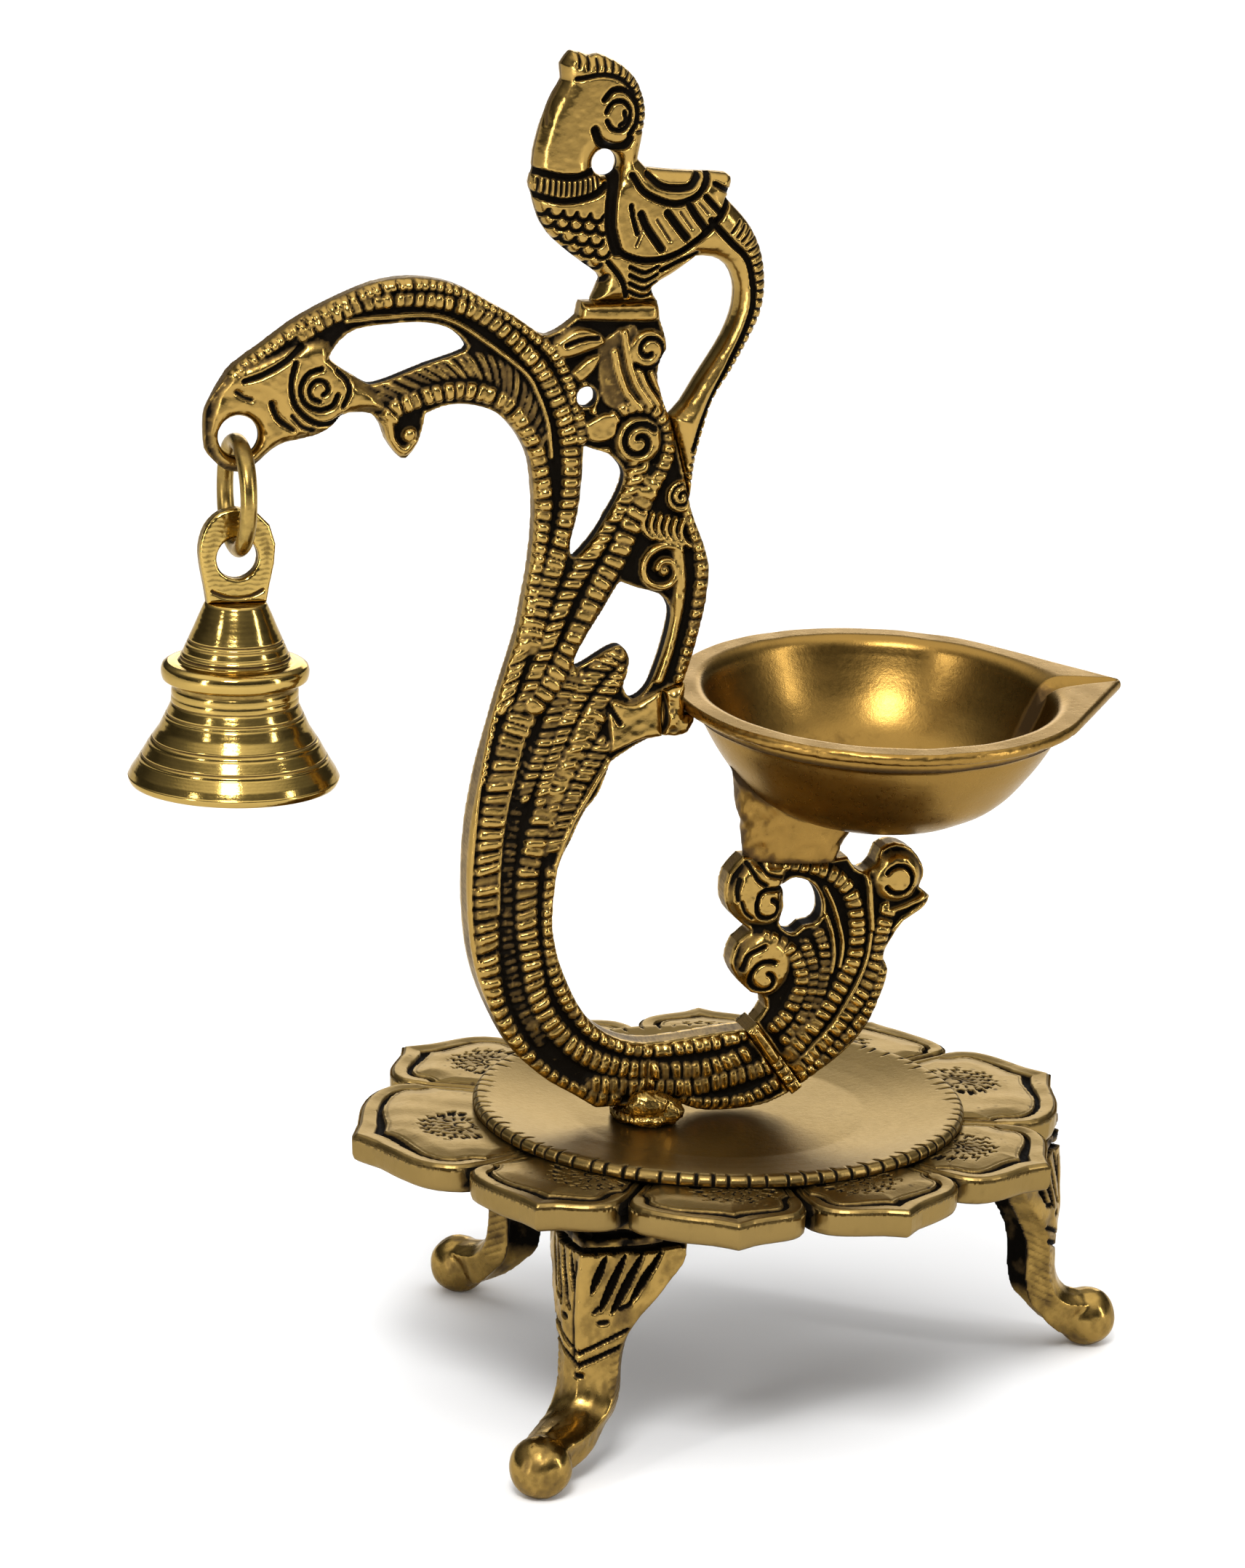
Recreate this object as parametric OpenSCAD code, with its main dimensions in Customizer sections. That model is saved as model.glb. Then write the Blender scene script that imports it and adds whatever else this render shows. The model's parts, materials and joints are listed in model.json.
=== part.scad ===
// Standing brass oil lamp (samai): a lotus base on three cabriole legs, an openwork swan-neck
// frame with a peacock on top, a spouted oil bowl, and a bell that hangs from the swan's beak.
// Origin: on the table, under the centre of the base. +Z is up, the openwork lies in the XZ
// plane, the bell hangs on the -X side and the spout points to +X. Millimetres.

/* [Base] */
// Radius to the tips of the longest petals, on the left and the right
petal_tip_r = 71; // [69:0.5:72]
// Height of the petals' upper face
plate_top = 54; // [53.4:0.1:54]
// Thickness of the lotus plate
plate_t = 5.3; // [4.6:0.1:5.6]
// Radius of the raised centre disc
disc_r = 46.3; // [44:0.1:48]
// Height of the disc's rolled edge above the petals
disc_rise = 2.6; // [2.4:0.1:3]

/* [Legs] */
// Distance of the right foot from the axis
right_foot_r = 78; // [77:0.5:79]
// Distance of the front foot from the axis
front_foot_r = 68; // [66:0.5:69]
// Distance of the back foot from the axis
back_foot_r = 66.5; // [65:0.5:68]
// Direction of the right leg, in degrees
right_leg_angle = 2; // [0:1:4]
// Direction of the front leg, in degrees
front_leg_angle = -134; // [-138:1:-130]
// Direction of the back leg, in degrees
back_leg_angle = 121; // [118:1:124]
// Radius of the ball feet
ball_r = 5.8; // [5.4:0.1:6.2]
// Width of the knees just under the base
knee_w = 28; // [26:0.5:29]

/* [Openwork] */
// Thickness of the swan neck and the scroll column
neck_t = 7; // [6:0.2:8]
// Thickness of the heavy lower curve
belly_t = 9.6; // [8:0.2:10]
// Height below which the frame has its full thickness
belly_top = 128; // [120:1:150]
// Thickness of the beak around the ring's eye
beak_t = 5; // [4:0.2:5.4]
// Thickness of the peacock
peacock_t = 9; // [7:0.5:10]
// Thickness of the tail scroll
scroll_t = 10; // [8:0.5:11]

/* [Bowl] */
// Radius of the bowl's rim
rim_r = 39; // [37:0.5:40]
// Radius of the bowl's mouth inside the rim
mouth_r = 33; // [31:0.5:34]
// Distance of the spout's tip from the bowl's centre
spout_reach = 48; // [45:0.5:50]
// Depth of the bowl inside
bowl_depth = 23; // [20:0.5:24]
// Forward tilt of the bowl, in degrees
bowl_tilt = 4; // [2:0.5:5]

/* [Bell] */
// Radius of the bell's mouth
bell_r = 19.1; // [18:0.1:20]
// Mean radius of the hanging ring
ring_r = 9.6; // [9.4:0.1:9.8]
// Radius of the ring's wire
ring_wire_r = 1.6; // [1.4:0.05:1.6]
// Radius of the clapper's ball
clapper_r = 3.2; // [2.5:0.1:3.5]

/* [Hidden] */
$fn = 96;

brass = "darkgoldenrod";
bright_brass = "goldenrod";
dark_brass = "saddlebrown";

plate_under = plate_top - plate_t;
web_top = plate_top - 2;           // top of the plate's web, where the disc is seated
disc_floor = web_top + 2;          // top of the disc at its centre
disc_edge = plate_top + disc_rise; // highest line of the disc's rolled edge
seat_r = disc_r - 4.3;

frame_foot_z = 57;   // flat under the frame, on the boss
boss_x = -15;        // axis of the bolt that holds the frame
bolt_r = 2;
bolt_clearance = 0.05;
bolt_tip_z = 65;
washer_t = 1;
bolt_head_h = 3;

leg_rivet_r = 1.5;
leg_rivet_reach = 44;   // the rivets sit under the disc's edge
leg_pad_r = 40;         // inner end of the pad on top of each leg
leg_top = plate_under;
ball_centre_z = ball_r - 0.3;

// Each leg: direction, distance of the shin's front ridge from the axis, distance of the foot
right_leg = [right_leg_angle, 70.8, right_foot_r];
front_leg = [front_leg_angle, 54.6, front_foot_r];
back_leg = [back_leg_angle, 57, back_foot_r];
legs = [right_leg, front_leg, back_leg];

bowl_x = 29;        // centre of the bowl
bowl_top = 134.5;   // height of the rim at the bowl's centre
flange_t = 2.2;
spout_tip_r = 1.5;

bell_x = -94;       // the ring, the bell and the clapper hang on this line
eye_hole_r = 3.7;   // eye in the beak
eye_hole_z = 186.2;
ring_z = 175.4;
bell_eye_hole_z = 164.1;
bell_eye_hole_r = 3.8;
bell_eye_t = 3.5;
bell_top = 156;
bell_mouth_z = 122.4;
crown_z = 150;      // top of the hollow inside the bell
clapper_pivot_z = 146.6;

// ---- curves ----------------------------------------------------------------------------------

// Smooth curve (Catmull-Rom) through the points p, with n steps from each point to the next
function at(p, i) = p[max(0, min(len(p) - 1, i))];
function between(a, b, c, d, t) =
    0.5 * (2 * b + (c - a) * t + (2 * a - 5 * b + 4 * c - d) * t * t + (3 * b - a - 3 * c + d) * t * t * t);
function curve(p, n = 3) = concat(
    [for (i = [0 : len(p) - 2]) for (k = [0 : n - 1])
        between(at(p, i - 1), p[i], p[i + 1], at(p, i + 2), k / n)],
    [p[len(p) - 1]]);

// Stands an outline drawn as (x, z) points upright in the XZ plane, centred on it
module upright(t) rotate([90, 0, 0]) linear_extrude(height = t, center = true) children();

// ---- base ------------------------------------------------------------------------------------

// The petals are uneven: direction and radius of each tip, and of the gap before each petal
petal_tips = [[7, 71], [45, 67], [76, 65.5], [105, 64.5], [134, 70], [180, 71], [223, 66], [256, 64.5],
    [285, 64.5], [320, 66.5]];
petal_gaps = [[-20, 55], [25, 60], [61, 53], [90, 51], [117, 54], [152, 59], [202, 57], [235, 54],
    [270, 52], [304, 53], [340, 55]];
petal_scale = petal_tip_r / 71;

// Half of a petal's edge as (ninths of the way out, share of the turn), from its gap to its tip
petal_edge = [[0, 0.99], [2.2, 0.95], [4.4, 0.82], [5.7, 0.62], [6.4, 0.42], [7.2, 0.2], [9, 0]];
function petal_point(tip, gap, e) =
    let (a = tip[0] + e[1] * (gap[0] - tip[0]), r = petal_scale * (gap[1] + e[0] * (tip[1] - gap[1]) / 9))
    r * [cos(a), sin(a)];

module lotus_outline() {
    half = curve(petal_edge, 2);
    last = len(half) - 1;
    polygon([for (i = [0 : len(petal_tips) - 1]) for (k = [0 : 2 * last])
        k <= last ? petal_point(petal_tips[i], petal_gaps[i], half[k])
            : petal_point(petal_tips[i], petal_gaps[i + 1], half[2 * last - k])]);
}

// Lotus plate: a flat cast plate with pointed petals and a recess for the disc
module lotus_plate() color(brass) difference() {
    translate([0, 0, plate_under]) linear_extrude(plate_t) lotus_outline();
    translate([0, 0, web_top]) cylinder(h = plate_t, r = seat_r + bolt_clearance);
    translate([boss_x, 0, plate_under - 1]) cylinder(h = plate_t, r = bolt_r + bolt_clearance, $fn = 48);
    for (leg = legs)
        rotate(leg[0]) translate([leg_rivet_reach, 0, plate_under - 1])
            cylinder(h = plate_t + 2, r = leg_rivet_r, $fn = 48);
}

// Centre disc: shallow dish with a rolled edge that overhangs the petals
module centre_disc() color(bright_brass) difference() {
    rotate_extrude() polygon(concat(
        [[0, web_top], [seat_r, web_top], [seat_r, plate_top + 0.6]],
        [for (a = [-30 : 15 : 90]) [disc_r - 1.7 + 1.7 * cos(a), disc_edge - 1.7 + 1.7 * sin(a)]],
        [[disc_r - 5, disc_edge - 0.3], [disc_r - 12, disc_floor + 0.9], [28, disc_floor],
         [0, disc_floor]]));
    translate([boss_x, 0, web_top - 1]) cylinder(h = 4, r = bolt_r + bolt_clearance, $fn = 48);
}

// ---- legs ------------------------------------------------------------------------------------

// A leg's sections from the top to the toe. Each has its ridge point and its rear edge as
// (distance in front of the shin's ridge, height), the half width and set-back of its flanks, the
// half width of its rear edges, the thickness behind the ridge, and its share of the toe's reach.
leg_sections = [
    [[-0.8, leg_top], [-16.5, leg_top], 13.2, 13.5, 12.2, 6, 0],
    [[-0.8, 46], [-16.5, 46], 13.4, 13.8, 12.2, 6, 0],
    [[-0.4, 43], [-16.5, 42.5], 14, 14.5, 12.4, 5, 0],
    [[0, 40.5], [-16.5, 38.8], 14, 14.5, 12.2, 5, 0],
    [[0.3, 36.5], [-15, 34.8], 12.2, 12, 10.4, 4.5, 0],
    [[0.5, 32.5], [-12.8, 31], 10.2, 9.2, 8.4, 4, 0],
    [[0.6, 29], [-10.8, 28], 8.4, 6.8, 6.6, 4, 0],
    [[0.3, 25.5], [-9.2, 24.6], 7, 4.8, 5.4, 4, 0],
    [[0, 21.5], [-8.4, 20.6], 6.3, 4, 4.8, 4, 0],
    [[0, 17.5], [-8.2, 15.8], 6.2, 3.8, 4.7, 4, 0],
    [[0.8, 14.2], [-7.2, 11.2], 6, 3.4, 4.6, 4.5, 0.05],
    [[2.6, 12.2], [-4.6, 8.4], 5.6, 3, 4.4, 6, 0.25],
    [[4.8, 11.4], [-1.4, 5], 5.2, 2.4, 4.2, 8, 0.6],
    [[6.8, 11], [3.4, 1.8], 4.2, 2, 2, 9.4, 1]];
toe_reach = 7.2;        // reach from ridge to ball that the sections are drawn for

// The six corners of one section: ridge, flank, rear edge, rear middle, rear edge, flank
function leg_corners(s, ridge_r, toe) =
    let (
        shift = ridge_r + (toe - toe_reach) * s[6],
        way = s[1] - s[0],
        depth = norm(way),
        at_depth = function(d, side) [shift + s[0][0] + way[0] * d / depth, side * knee_w / 28,
            s[0][1] + way[1] * d / depth])
    [at_depth(0, 0), at_depth(s[3], s[2]), at_depth(depth, s[4]), at_depth(s[5], 0),
        at_depth(depth, -s[4]), at_depth(s[3], -s[2])];

leg_cap = [[0, 1, 3], [1, 2, 3], [0, 3, 5], [3, 4, 5]];

module leg_shell(ridge_r, toe) {
    rings = [for (s = leg_sections) leg_corners(s, ridge_r, toe)];
    last = len(rings) - 1;
    polyhedron(
        points = [for (ring = rings) for (corner = ring) corner],
        faces = concat(
            [for (t = leg_cap) [t[2], t[1], t[0]]],
            [for (t = leg_cap) [6 * last + t[0], 6 * last + t[1], 6 * last + t[2]]],
            [for (k = [0 : last - 1]) for (j = [0 : 5]) let (m = (j + 1) % 6)
                [6 * k + j, 6 * k + 6 + m, 6 * k + 6 + j]],
            [for (k = [0 : last - 1]) for (j = [0 : 5]) let (m = (j + 1) % 6)
                [6 * k + j, 6 * k + m, 6 * k + 6 + m]]));
}

// Cabriole leg: a V-shaped knee and shin, hollow behind, with a pad on top and a ball foot
module leg(place) color(brass) rotate(place[0]) difference() {
    union() {
        leg_shell(place[1], place[2] - place[1]);
        translate([0, 0, leg_top - 4]) linear_extrude(4) polygon([[leg_pad_r, -9], [place[1] - 12, -9],
            [place[1] - 4, 0], [place[1] - 12, 9], [leg_pad_r, 9]]);
        translate([place[2], 0, ball_centre_z]) sphere(ball_r, $fn = 64);
    }
    translate([place[2], 0, -5]) cube([20, 20, 10], center = true);
    translate([leg_rivet_reach, 0, leg_top - 2]) cylinder(h = 10, r = leg_rivet_r, $fn = 48);
}

module leg_front() leg(front_leg);
module leg_back() leg(back_leg);
module leg_right() leg(right_leg);

// Blind rivets through the plate that hold the legs, hidden under the disc's edge
module leg_rivets() color(dark_brass)
    for (leg = legs)
        rotate(leg[0]) translate([leg_rivet_reach, 0, leg_top - 2])
            cylinder(h = plate_t + 2, r = leg_rivet_r, $fn = 48);

// ---- frame fastening -------------------------------------------------------------------------

module frame_bolt() color(dark_brass) translate([boss_x, 0, 0]) {
    translate([0, 0, plate_under - washer_t - bolt_head_h]) cylinder(h = bolt_head_h, r = 4, $fn = 6);
    translate([0, 0, plate_under - washer_t])
        cylinder(h = bolt_tip_z - plate_under + washer_t, r = bolt_r, $fn = 48);
}

module frame_washer() color(dark_brass) translate([boss_x, 0, plate_under - washer_t]) difference() {
    cylinder(h = washer_t, r = 5.5, $fn = 64);
    translate([0, 0, -1]) cylinder(h = 3, r = bolt_r + bolt_clearance, $fn = 48);
}

// Boss: the lump of metal that the frame stands on, with a lug in front of the frame
boss_plan = [[-21, -7], [-19.5, -9.6], [-15, -10.4], [-11, -9.4], [-9, -6.6], [-8.6, 3], [-10, 6.4],
    [-15, 7.4], [-20, 6.4], [-21.6, 2], [-21, -7]];
lug_plan = [[-20.2, -4.8], [-19.6, -8], [-17, -9.2], [-13, -9.2], [-10.6, -8], [-10, -4.8]];

module frame_boss() color(brass) difference() {
    union() {
        translate([0, 0, disc_floor])
            linear_extrude(frame_foot_z - disc_floor) polygon(curve(boss_plan, 3));
        translate([0, 0, frame_foot_z - 1]) linear_extrude(4.6) polygon(lug_plan);
    }
    translate([boss_x, 0, disc_floor - 1]) cylinder(h = 8, r = bolt_r + bolt_clearance, $fn = 48);
}

// ---- openwork frame --------------------------------------------------------------------------

// Outline of the swan frame, from the beak over the arch and down the column to the bracket
arch_top = [[-100.3, 187], [-100.3, 190], [-99.5, 192.5], [-97, 196.5], [-95, 199], [-90, 202.5],
    [-85, 206.2], [-80, 209], [-75, 211.3], [-70, 213.2], [-65, 214], [-61.5, 214], [-57, 213.3],
    [-53, 211.8], [-48, 209], [-44, 206.8], [-40, 204], [-37.5, 203], [-34, 204.8], [-32, 206.5]];
perch = [[-31.5, 209], [-17.3, 209]];
column_right = [[-16.7, 205.5], [-15.8, 203], [-15.3, 201], [-15.6, 199.5], [-16.7, 197], [-16.7, 194],
    [-15.4, 190], [-14.3, 187.6]];
tail_seam = [[-12.6, 182], [-11, 176], [-9.9, 171]];
column_foot = [[-9.9, 171], [-8.8, 168], [-7.3, 164.5], [-6, 160.5], [-5.8, 158], [-6.2, 153], [-7, 149],
    [-8.2, 144], [-9.4, 140], [-10.2, 138]];
strut_under = [[-14, 127.9], [-17, 127.5], [-21, 125.5], [-24, 123.6]];
// Inner edge of the big open curve, down to the collar
curve_inner = [[-24, 123.6], [-26, 118], [-28, 115.5], [-29.5, 113], [-31, 109.5], [-33, 105.5],
    [-33.8, 102], [-34.3, 94], [-33.8, 90], [-32.8, 86], [-31, 81.5], [-29, 77.5], [-26.5, 74],
    [-23.5, 71.5], [-20, 69.8], [-16, 68.9], [-11, 68.9], [-5, 69.5], [0, 70], [4, 70.3]];
curve_bottom = [[13.2, 57.5], [9, 55.7], [5, 55], [0, 54.8], [-5, 55.3], [-9, 57]];
// Outer edge of the heavy curve and the back of the neck, up to the end of the swan's throat
curve_outer = [[-25, 57], [-29.6, 60], [-34.1, 62.7], [-38.1, 66], [-41.1, 69], [-43.6, 73],
    [-46.1, 78], [-48.1, 83], [-49.6, 89], [-50.4, 96], [-50.7, 104], [-50.3, 112], [-49.4, 118],
    [-47.9, 126], [-46.1, 134], [-44.1, 141], [-42.6, 146], [-41.6, 150], [-40.8, 155], [-40, 160],
    [-39.5, 165], [-39.3, 170], [-39.6, 175], [-40.3, 180], [-41.5, 183], [-43, 185.4],
    [-44.5, 187.2], [-46, 188.6], [-48, 189.8], [-51, 190.7], [-54, 191], [-57, 190.6],
    [-60, 189.4]];
// Curl under the arch, the swan's chin and the beak
throat = [[-60, 189.4], [-60.6, 186.3], [-61.5, 184], [-63, 181.8], [-64, 181.4], [-65, 182],
    [-67, 184.8], [-68, 187.5], [-70, 189.7], [-73, 190], [-75, 189.7], [-77, 187.8], [-80, 186.1],
    [-85, 185], [-88, 183.5], [-90, 181.7], [-92, 180.2], [-94, 179.7], [-96.5, 180.3],
    [-98.5, 182], [-100, 184], [-100.3, 187]];

arch_window = [[-78, 200], [-76, 203], [-73, 205], [-68, 205.7], [-62, 206], [-58, 205.5], [-55, 204.2],
    [-52.4, 201.4], [-54.5, 200], [-60, 198.3], [-66, 196], [-69.5, 195], [-71, 195.2], [-73, 196.4],
    [-75.6, 198], [-78, 200]];
neck_window = [[-30.3, 182.7], [-28.5, 182], [-25.5, 181], [-23, 178.5], [-22.6, 176], [-23.8, 172.8],
    [-25.6, 169.6], [-28, 165.6], [-31.4, 162], [-32.4, 163.5], [-32.2, 166], [-31.2, 170], [-30.7, 174],
    [-30.5, 178], [-30.3, 182.7]];
column_window = [[-22.8, 157.3], [-19.5, 156], [-15, 154.6], [-13, 152], [-13, 149], [-13.9, 145],
    [-15.1, 141], [-16.6, 137.4], [-18.3, 135.6], [-20, 135.1], [-21.6, 137.4], [-21, 139.8],
    [-20.6, 141.8], [-20.8, 143.5], [-21.8, 144.9], [-23, 145.2], [-25, 144.4], [-27.5, 142.9],
    [-30.5, 141.4], [-31, 143], [-30.2, 145], [-28.5, 148], [-26, 152], [-24, 155.5],
    [-22.8, 157.3]];

module frame_outline() difference() {
    polygon(concat(curve(arch_top, 2), perch, curve(column_right, 2), tail_seam, curve(column_foot, 2),
        [[-14, 136.6]], curve(strut_under, 2), curve(curve_inner, 2), curve(curve_bottom, 2),
        curve(curve_outer, 2), curve(throat, 2)));
    polygon(curve(arch_window, 2));
    polygon(curve(neck_window, 2));
    polygon(curve(column_window, 2));
    translate([-30, 191.6]) circle(1.9, $fn = 32);
}

// Swan frame: one openwork casting, thicker in its lower curve and thin at the beak's eye
module swan_frame() color(brass) difference() {
    union() {
        upright(neck_t) frame_outline();
        intersection() {
            upright(belly_t) frame_outline();
            translate([-100, -20, 40]) cube([200, 40, belly_top - 40]);
        }
    }
    for (side = [-1, 1])
        translate([bell_x, side * (beak_t / 2 + 5), eye_hole_z]) rotate([90, 0, 0])
            cylinder(h = 10, r = 9, center = true);
    translate([bell_x, 0, eye_hole_z]) rotate([90, 0, 0])
        cylinder(h = neck_t + 2, r = eye_hole_r, center = true, $fn = 64);
    translate([boss_x, 0, frame_foot_z - 1])
        cylinder(h = bolt_tip_z - frame_foot_z + 1.5, r = bolt_r + bolt_clearance, $fn = 48);
}

// Slanted collar that ties the curve to the tail scroll
collar = [[4, 70.3], [6, 71.7], [15.2, 58.9], [13.2, 57.5]];
module collar_band() color(brass) upright(scroll_t) polygon(collar);

// ---- tail scroll -----------------------------------------------------------------------------

scroll_left = [[6, 71.7], [8, 74.5], [7, 77], [5, 77.5], [2.5, 80], [1, 82.5], [0.8, 84.5], [2, 87.6],
    [4.4, 89.6], [2.5, 91.2], [0, 93.8], [-0.9, 97], [-0.2, 101], [2.5, 104]];
// Seat of the bowl's foot
scroll_seat = [[2.5, 104], [5, 104], [10, 103.8], [15, 103.3], [20, 102.6], [23, 103]];
scroll_top = [[23, 103], [24.4, 101], [26.4, 99.9], [28.6, 101.5], [29.6, 104.2], [32.4, 105.2],
    [35.6, 104], [37.8, 101], [38.2, 98.6], [37.4, 96.4], [39.6, 94.6], [38, 92], [34.5, 90],
    [32.6, 87], [31.2, 84.6], [30.9, 82.8], [31.8, 80.8], [31.4, 78], [30.3, 75], [29, 71.5],
    [27.5, 69], [25, 66], [21.5, 63], [18, 60.7], [15.2, 58.9]];
scroll_window = [[10.3, 98.3], [12, 99.4], [14, 99.3], [16, 98.3], [17.6, 96.4], [18.4, 94], [18.2, 91.5],
    [16.8, 90.3], [14.8, 90], [13.3, 88.8], [11.6, 89], [9.9, 91], [10.7, 94], [10.3, 98.3]];

module tail_scroll() color(brass) upright(scroll_t) difference() {
    polygon(concat(curve(scroll_left, 2), scroll_seat, curve(scroll_top, 2)));
    polygon(curve(scroll_window, 2));
}

// ---- peacock ---------------------------------------------------------------------------------

peacock_front = [[-29.6, 209], [-28.1, 212.5], [-28.5, 214], [-31, 215.8], [-34, 218], [-37, 220.5],
    [-38.5, 222.3], [-39.8, 224.5], [-41, 228.5], [-41.6, 230.5], [-41, 233], [-40.8, 236], [-40, 239.5],
    [-39, 243], [-37.5, 246.5], [-36, 249], [-36.3, 251.6], [-34.5, 254]];
peacock_crest = [[-34.5, 254], [-32.5, 253.6], [-31, 253.1], [-29.4, 253.4], [-27, 252.5], [-24.5, 251],
    [-22.5, 249], [-21.3, 246.6], [-20.5, 243.5], [-20.7, 240.5], [-21.7, 234.7]];
peacock_wing = [[-20, 233], [-15, 232.5], [-10, 232.2], [-5, 231.9], [-4, 230.4], [-4.8, 227.5]];
tail_outer = [[-4.5, 227], [-2, 224.5], [0, 222], [1.8, 218.5], [2.8, 214.5], [3, 210], [2.3, 206],
    [0.8, 202.5], [-1, 199], [-3, 195.5], [-5, 192.5], [-6.5, 189.5], [-7.5, 186], [-8.3, 183],
    [-9, 180], [-9.4, 177], [-9.8, 173], [-9.9, 171]];
tail_inner = [[-14.3, 187.6], [-12, 190], [-9.6, 194], [-7, 198], [-4.6, 202], [-3, 206], [-2.5, 209],
    [-2.7, 212], [-4.2, 215], [-7, 216.6], [-10.3, 216.8]];
peacock_rump = [[-10.3, 216.8], [-12, 215.5], [-15, 213.5], [-18.3, 211.4], [-17.3, 209]];

module peacock() color(brass) upright(peacock_t) difference() {
    polygon(concat(curve(peacock_front, 2), curve(peacock_crest, 2), curve(peacock_wing, 2),
        curve(tail_outer, 2), [[-11, 176], [-12.6, 182]], curve(tail_inner, 2), curve(peacock_rump, 2)));
    translate([-27.8, 234]) circle(2.4, $fn = 32);
}

// ---- bowl ------------------------------------------------------------------------------------

// Places the bowl: centred on bowl_x, its rim's upper face at z = 0 of the child's own frame
module on_bowl() translate([bowl_x, 0, bowl_top]) rotate([bowl_tilt, 0, 0]) children();

// Half the angle between the two edges of the spout, seen from the bowl's centre
spout_angle = acos((rim_r - spout_tip_r) / (spout_reach - spout_tip_r));

module rim_outline() {
    edge = [cos(spout_angle), sin(spout_angle)];
    tip = [spout_reach - spout_tip_r, 0];
    union() {
        circle(rim_r);
        translate(tip) circle(spout_tip_r, $fn = 32);
        polygon([rim_r * edge, tip + spout_tip_r * edge, tip + spout_tip_r * [edge[0], -edge[1]],
            [rim_r * edge[0], -rim_r * edge[1]], [0, 0]]);
    }
}

// Sides of the bowl under its rim, from the rim down to the axis
bowl_inner = [[33, 0], [32.2, -3], [30.4, -7], [27.6, -12], [23.4, -17], [17, -20.6], [9, -22.6],
    [0, -23]];
bowl_outer = [[33.8, -5], [32.4, -8], [29.6, -12.5], [24.8, -18.4], [18, -22.5], [9.5, -24.6], [0, -25]];
function bowl_side(p) = [for (q = curve(p, 2)) [max(0, q[0] * mouth_r / 33), q[1] * bowl_depth / 23]];

module bowl_outside() {
    translate([0, 0, -flange_t]) linear_extrude(flange_t) rim_outline();
    rotate_extrude() polygon(concat([[0, -flange_t], [mouth_r + 2, -flange_t], [mouth_r + 2, -4.6]],
        bowl_side(bowl_outer)));
    // keel under the spout's channel
    intersection() {
        translate([0, 0, -6]) linear_extrude(6) rim_outline();
        translate([mouth_r - 4, 0, 0]) rotate([0, -6, 0]) translate([0, 0, -0.4]) rotate([45, 0, 0])
            cube([2 * spout_reach, 7.6, 7.6], center = true);
        translate([0, -20, -10]) cube([spout_reach, 40, 10]);
    }
}

module oil_bowl() color(bright_brass) on_bowl() difference() {
    bowl_outside();
    rotate_extrude() polygon(concat([[0, 1], [mouth_r, 1]], bowl_side(bowl_inner)));
    translate([mouth_r - 4, 0, 1.2]) rotate([0, -4, 0]) rotate([45, 0, 0])
        translate([spout_reach / 2 - 12, 0, 0]) cube([spout_reach - 24, 5.2, 5.2], center = true);
}

// Foot that carries the bowl on the tail scroll
foot_side = [[24.4, 105], [26, 108], [30, 116], [12, 126], [-0.6, 126], [0.4, 122], [0.8, 116],
    [1.2, 110], [1.6, 107]];
module bowl_foot() color(brass) difference() {
    upright(scroll_t) polygon(concat(scroll_seat, foot_side));
    on_bowl() bowl_outside();
}

// Bracket that joins the bowl's rim to the frame's strut
bracket_side = [[-14, 136.6], [-10.2, 138], [-8.6, 136.6], [-7.8, 134], [-7.8, 130.4], [-9, 128.4],
    [-11, 127.7], [-14, 127.9]];
module bowl_bracket() color(brass) difference() {
    upright(neck_t) polygon(bracket_side);
    on_bowl() translate([0, 0, -flange_t]) cylinder(h = 20, r = rim_r);
}

// ---- ring and bell ---------------------------------------------------------------------------

module hanging_ring() color(bright_brass) translate([bell_x, 0, ring_z]) rotate([0, 90, 0])
    rotate_extrude($fn = 96) translate([ring_r, 0]) circle(ring_wire_r, $fn = 48);

// Flat eye on top of the bell, with a tang through the crown
eye_side = [[-5.4, bell_top], [-5.9, 159], [-6.7, 163], [-6.9, 166.5], [-5.8, 170], [-3.4, 172.4],
    [0, 173.2]];
module bell_eye() color(brass) translate([bell_x, 0, 0]) {
    difference() {
        upright(bell_eye_t) polygon(concat(curve(eye_side, 3),
            [for (i = [len(eye_side) - 2 : -1 : 0]) [-eye_side[i][0], eye_side[i][1]]]));
        translate([0, 0, bell_eye_hole_z]) rotate([90, 0, 0])
            cylinder(h = 10, r = bell_eye_hole_r, center = true, $fn = 64);
    }
    translate([0, 0, crown_z]) cylinder(h = bell_top - crown_z + 0.5, r = 1.6, $fn = 48);
}

// Outside of the bell from the top of its cone to its lip, then back up inside
bell_outside = [[0, bell_top], [5.7, bell_top], [7.6, 151.2], [8.6, 149], [9.4, 147], [10.2, 145.2],
    [12.4, 145.2], [13.2, 144.4], [13.4, 143.5], [13.2, 142.6], [12.4, 141.8], [11.4, 141.5],
    [11.4, 137.2], [12.2, 136], [13.6, 133], [15.6, 130], [17.3, 127], [18.4, 125.2],
    [bell_r, 124.2], [bell_r - 0.3, 123], [bell_r - 1.4, bell_mouth_z]];
bell_inside = [[17, bell_mouth_z], [16.6, 125], [14.9, 128], [13, 131], [11.2, 134.5], [9.9, 137],
    [9.6, 141], [8, 145], [6.4, 148], [5, crown_z], [0, crown_z]];
module bell_body() color(bright_brass) translate([bell_x, 0, 0]) difference() {
    rotate_extrude() polygon(concat(bell_outside, bell_inside));
    translate([0, 0, crown_z - 1]) cylinder(h = 8, r = 1.6, $fn = 48);
}

// ---- clapper ---------------------------------------------------------------------------------

staple_r = 2.6;
staple_wire_r = 0.8;
hook_r = 1.9;
hook_wire_r = 0.6;
clapper_z = 129.5;      // centre of the ball
ball_flat = 0.2;        // depth of the flat where the rod enters

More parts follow.
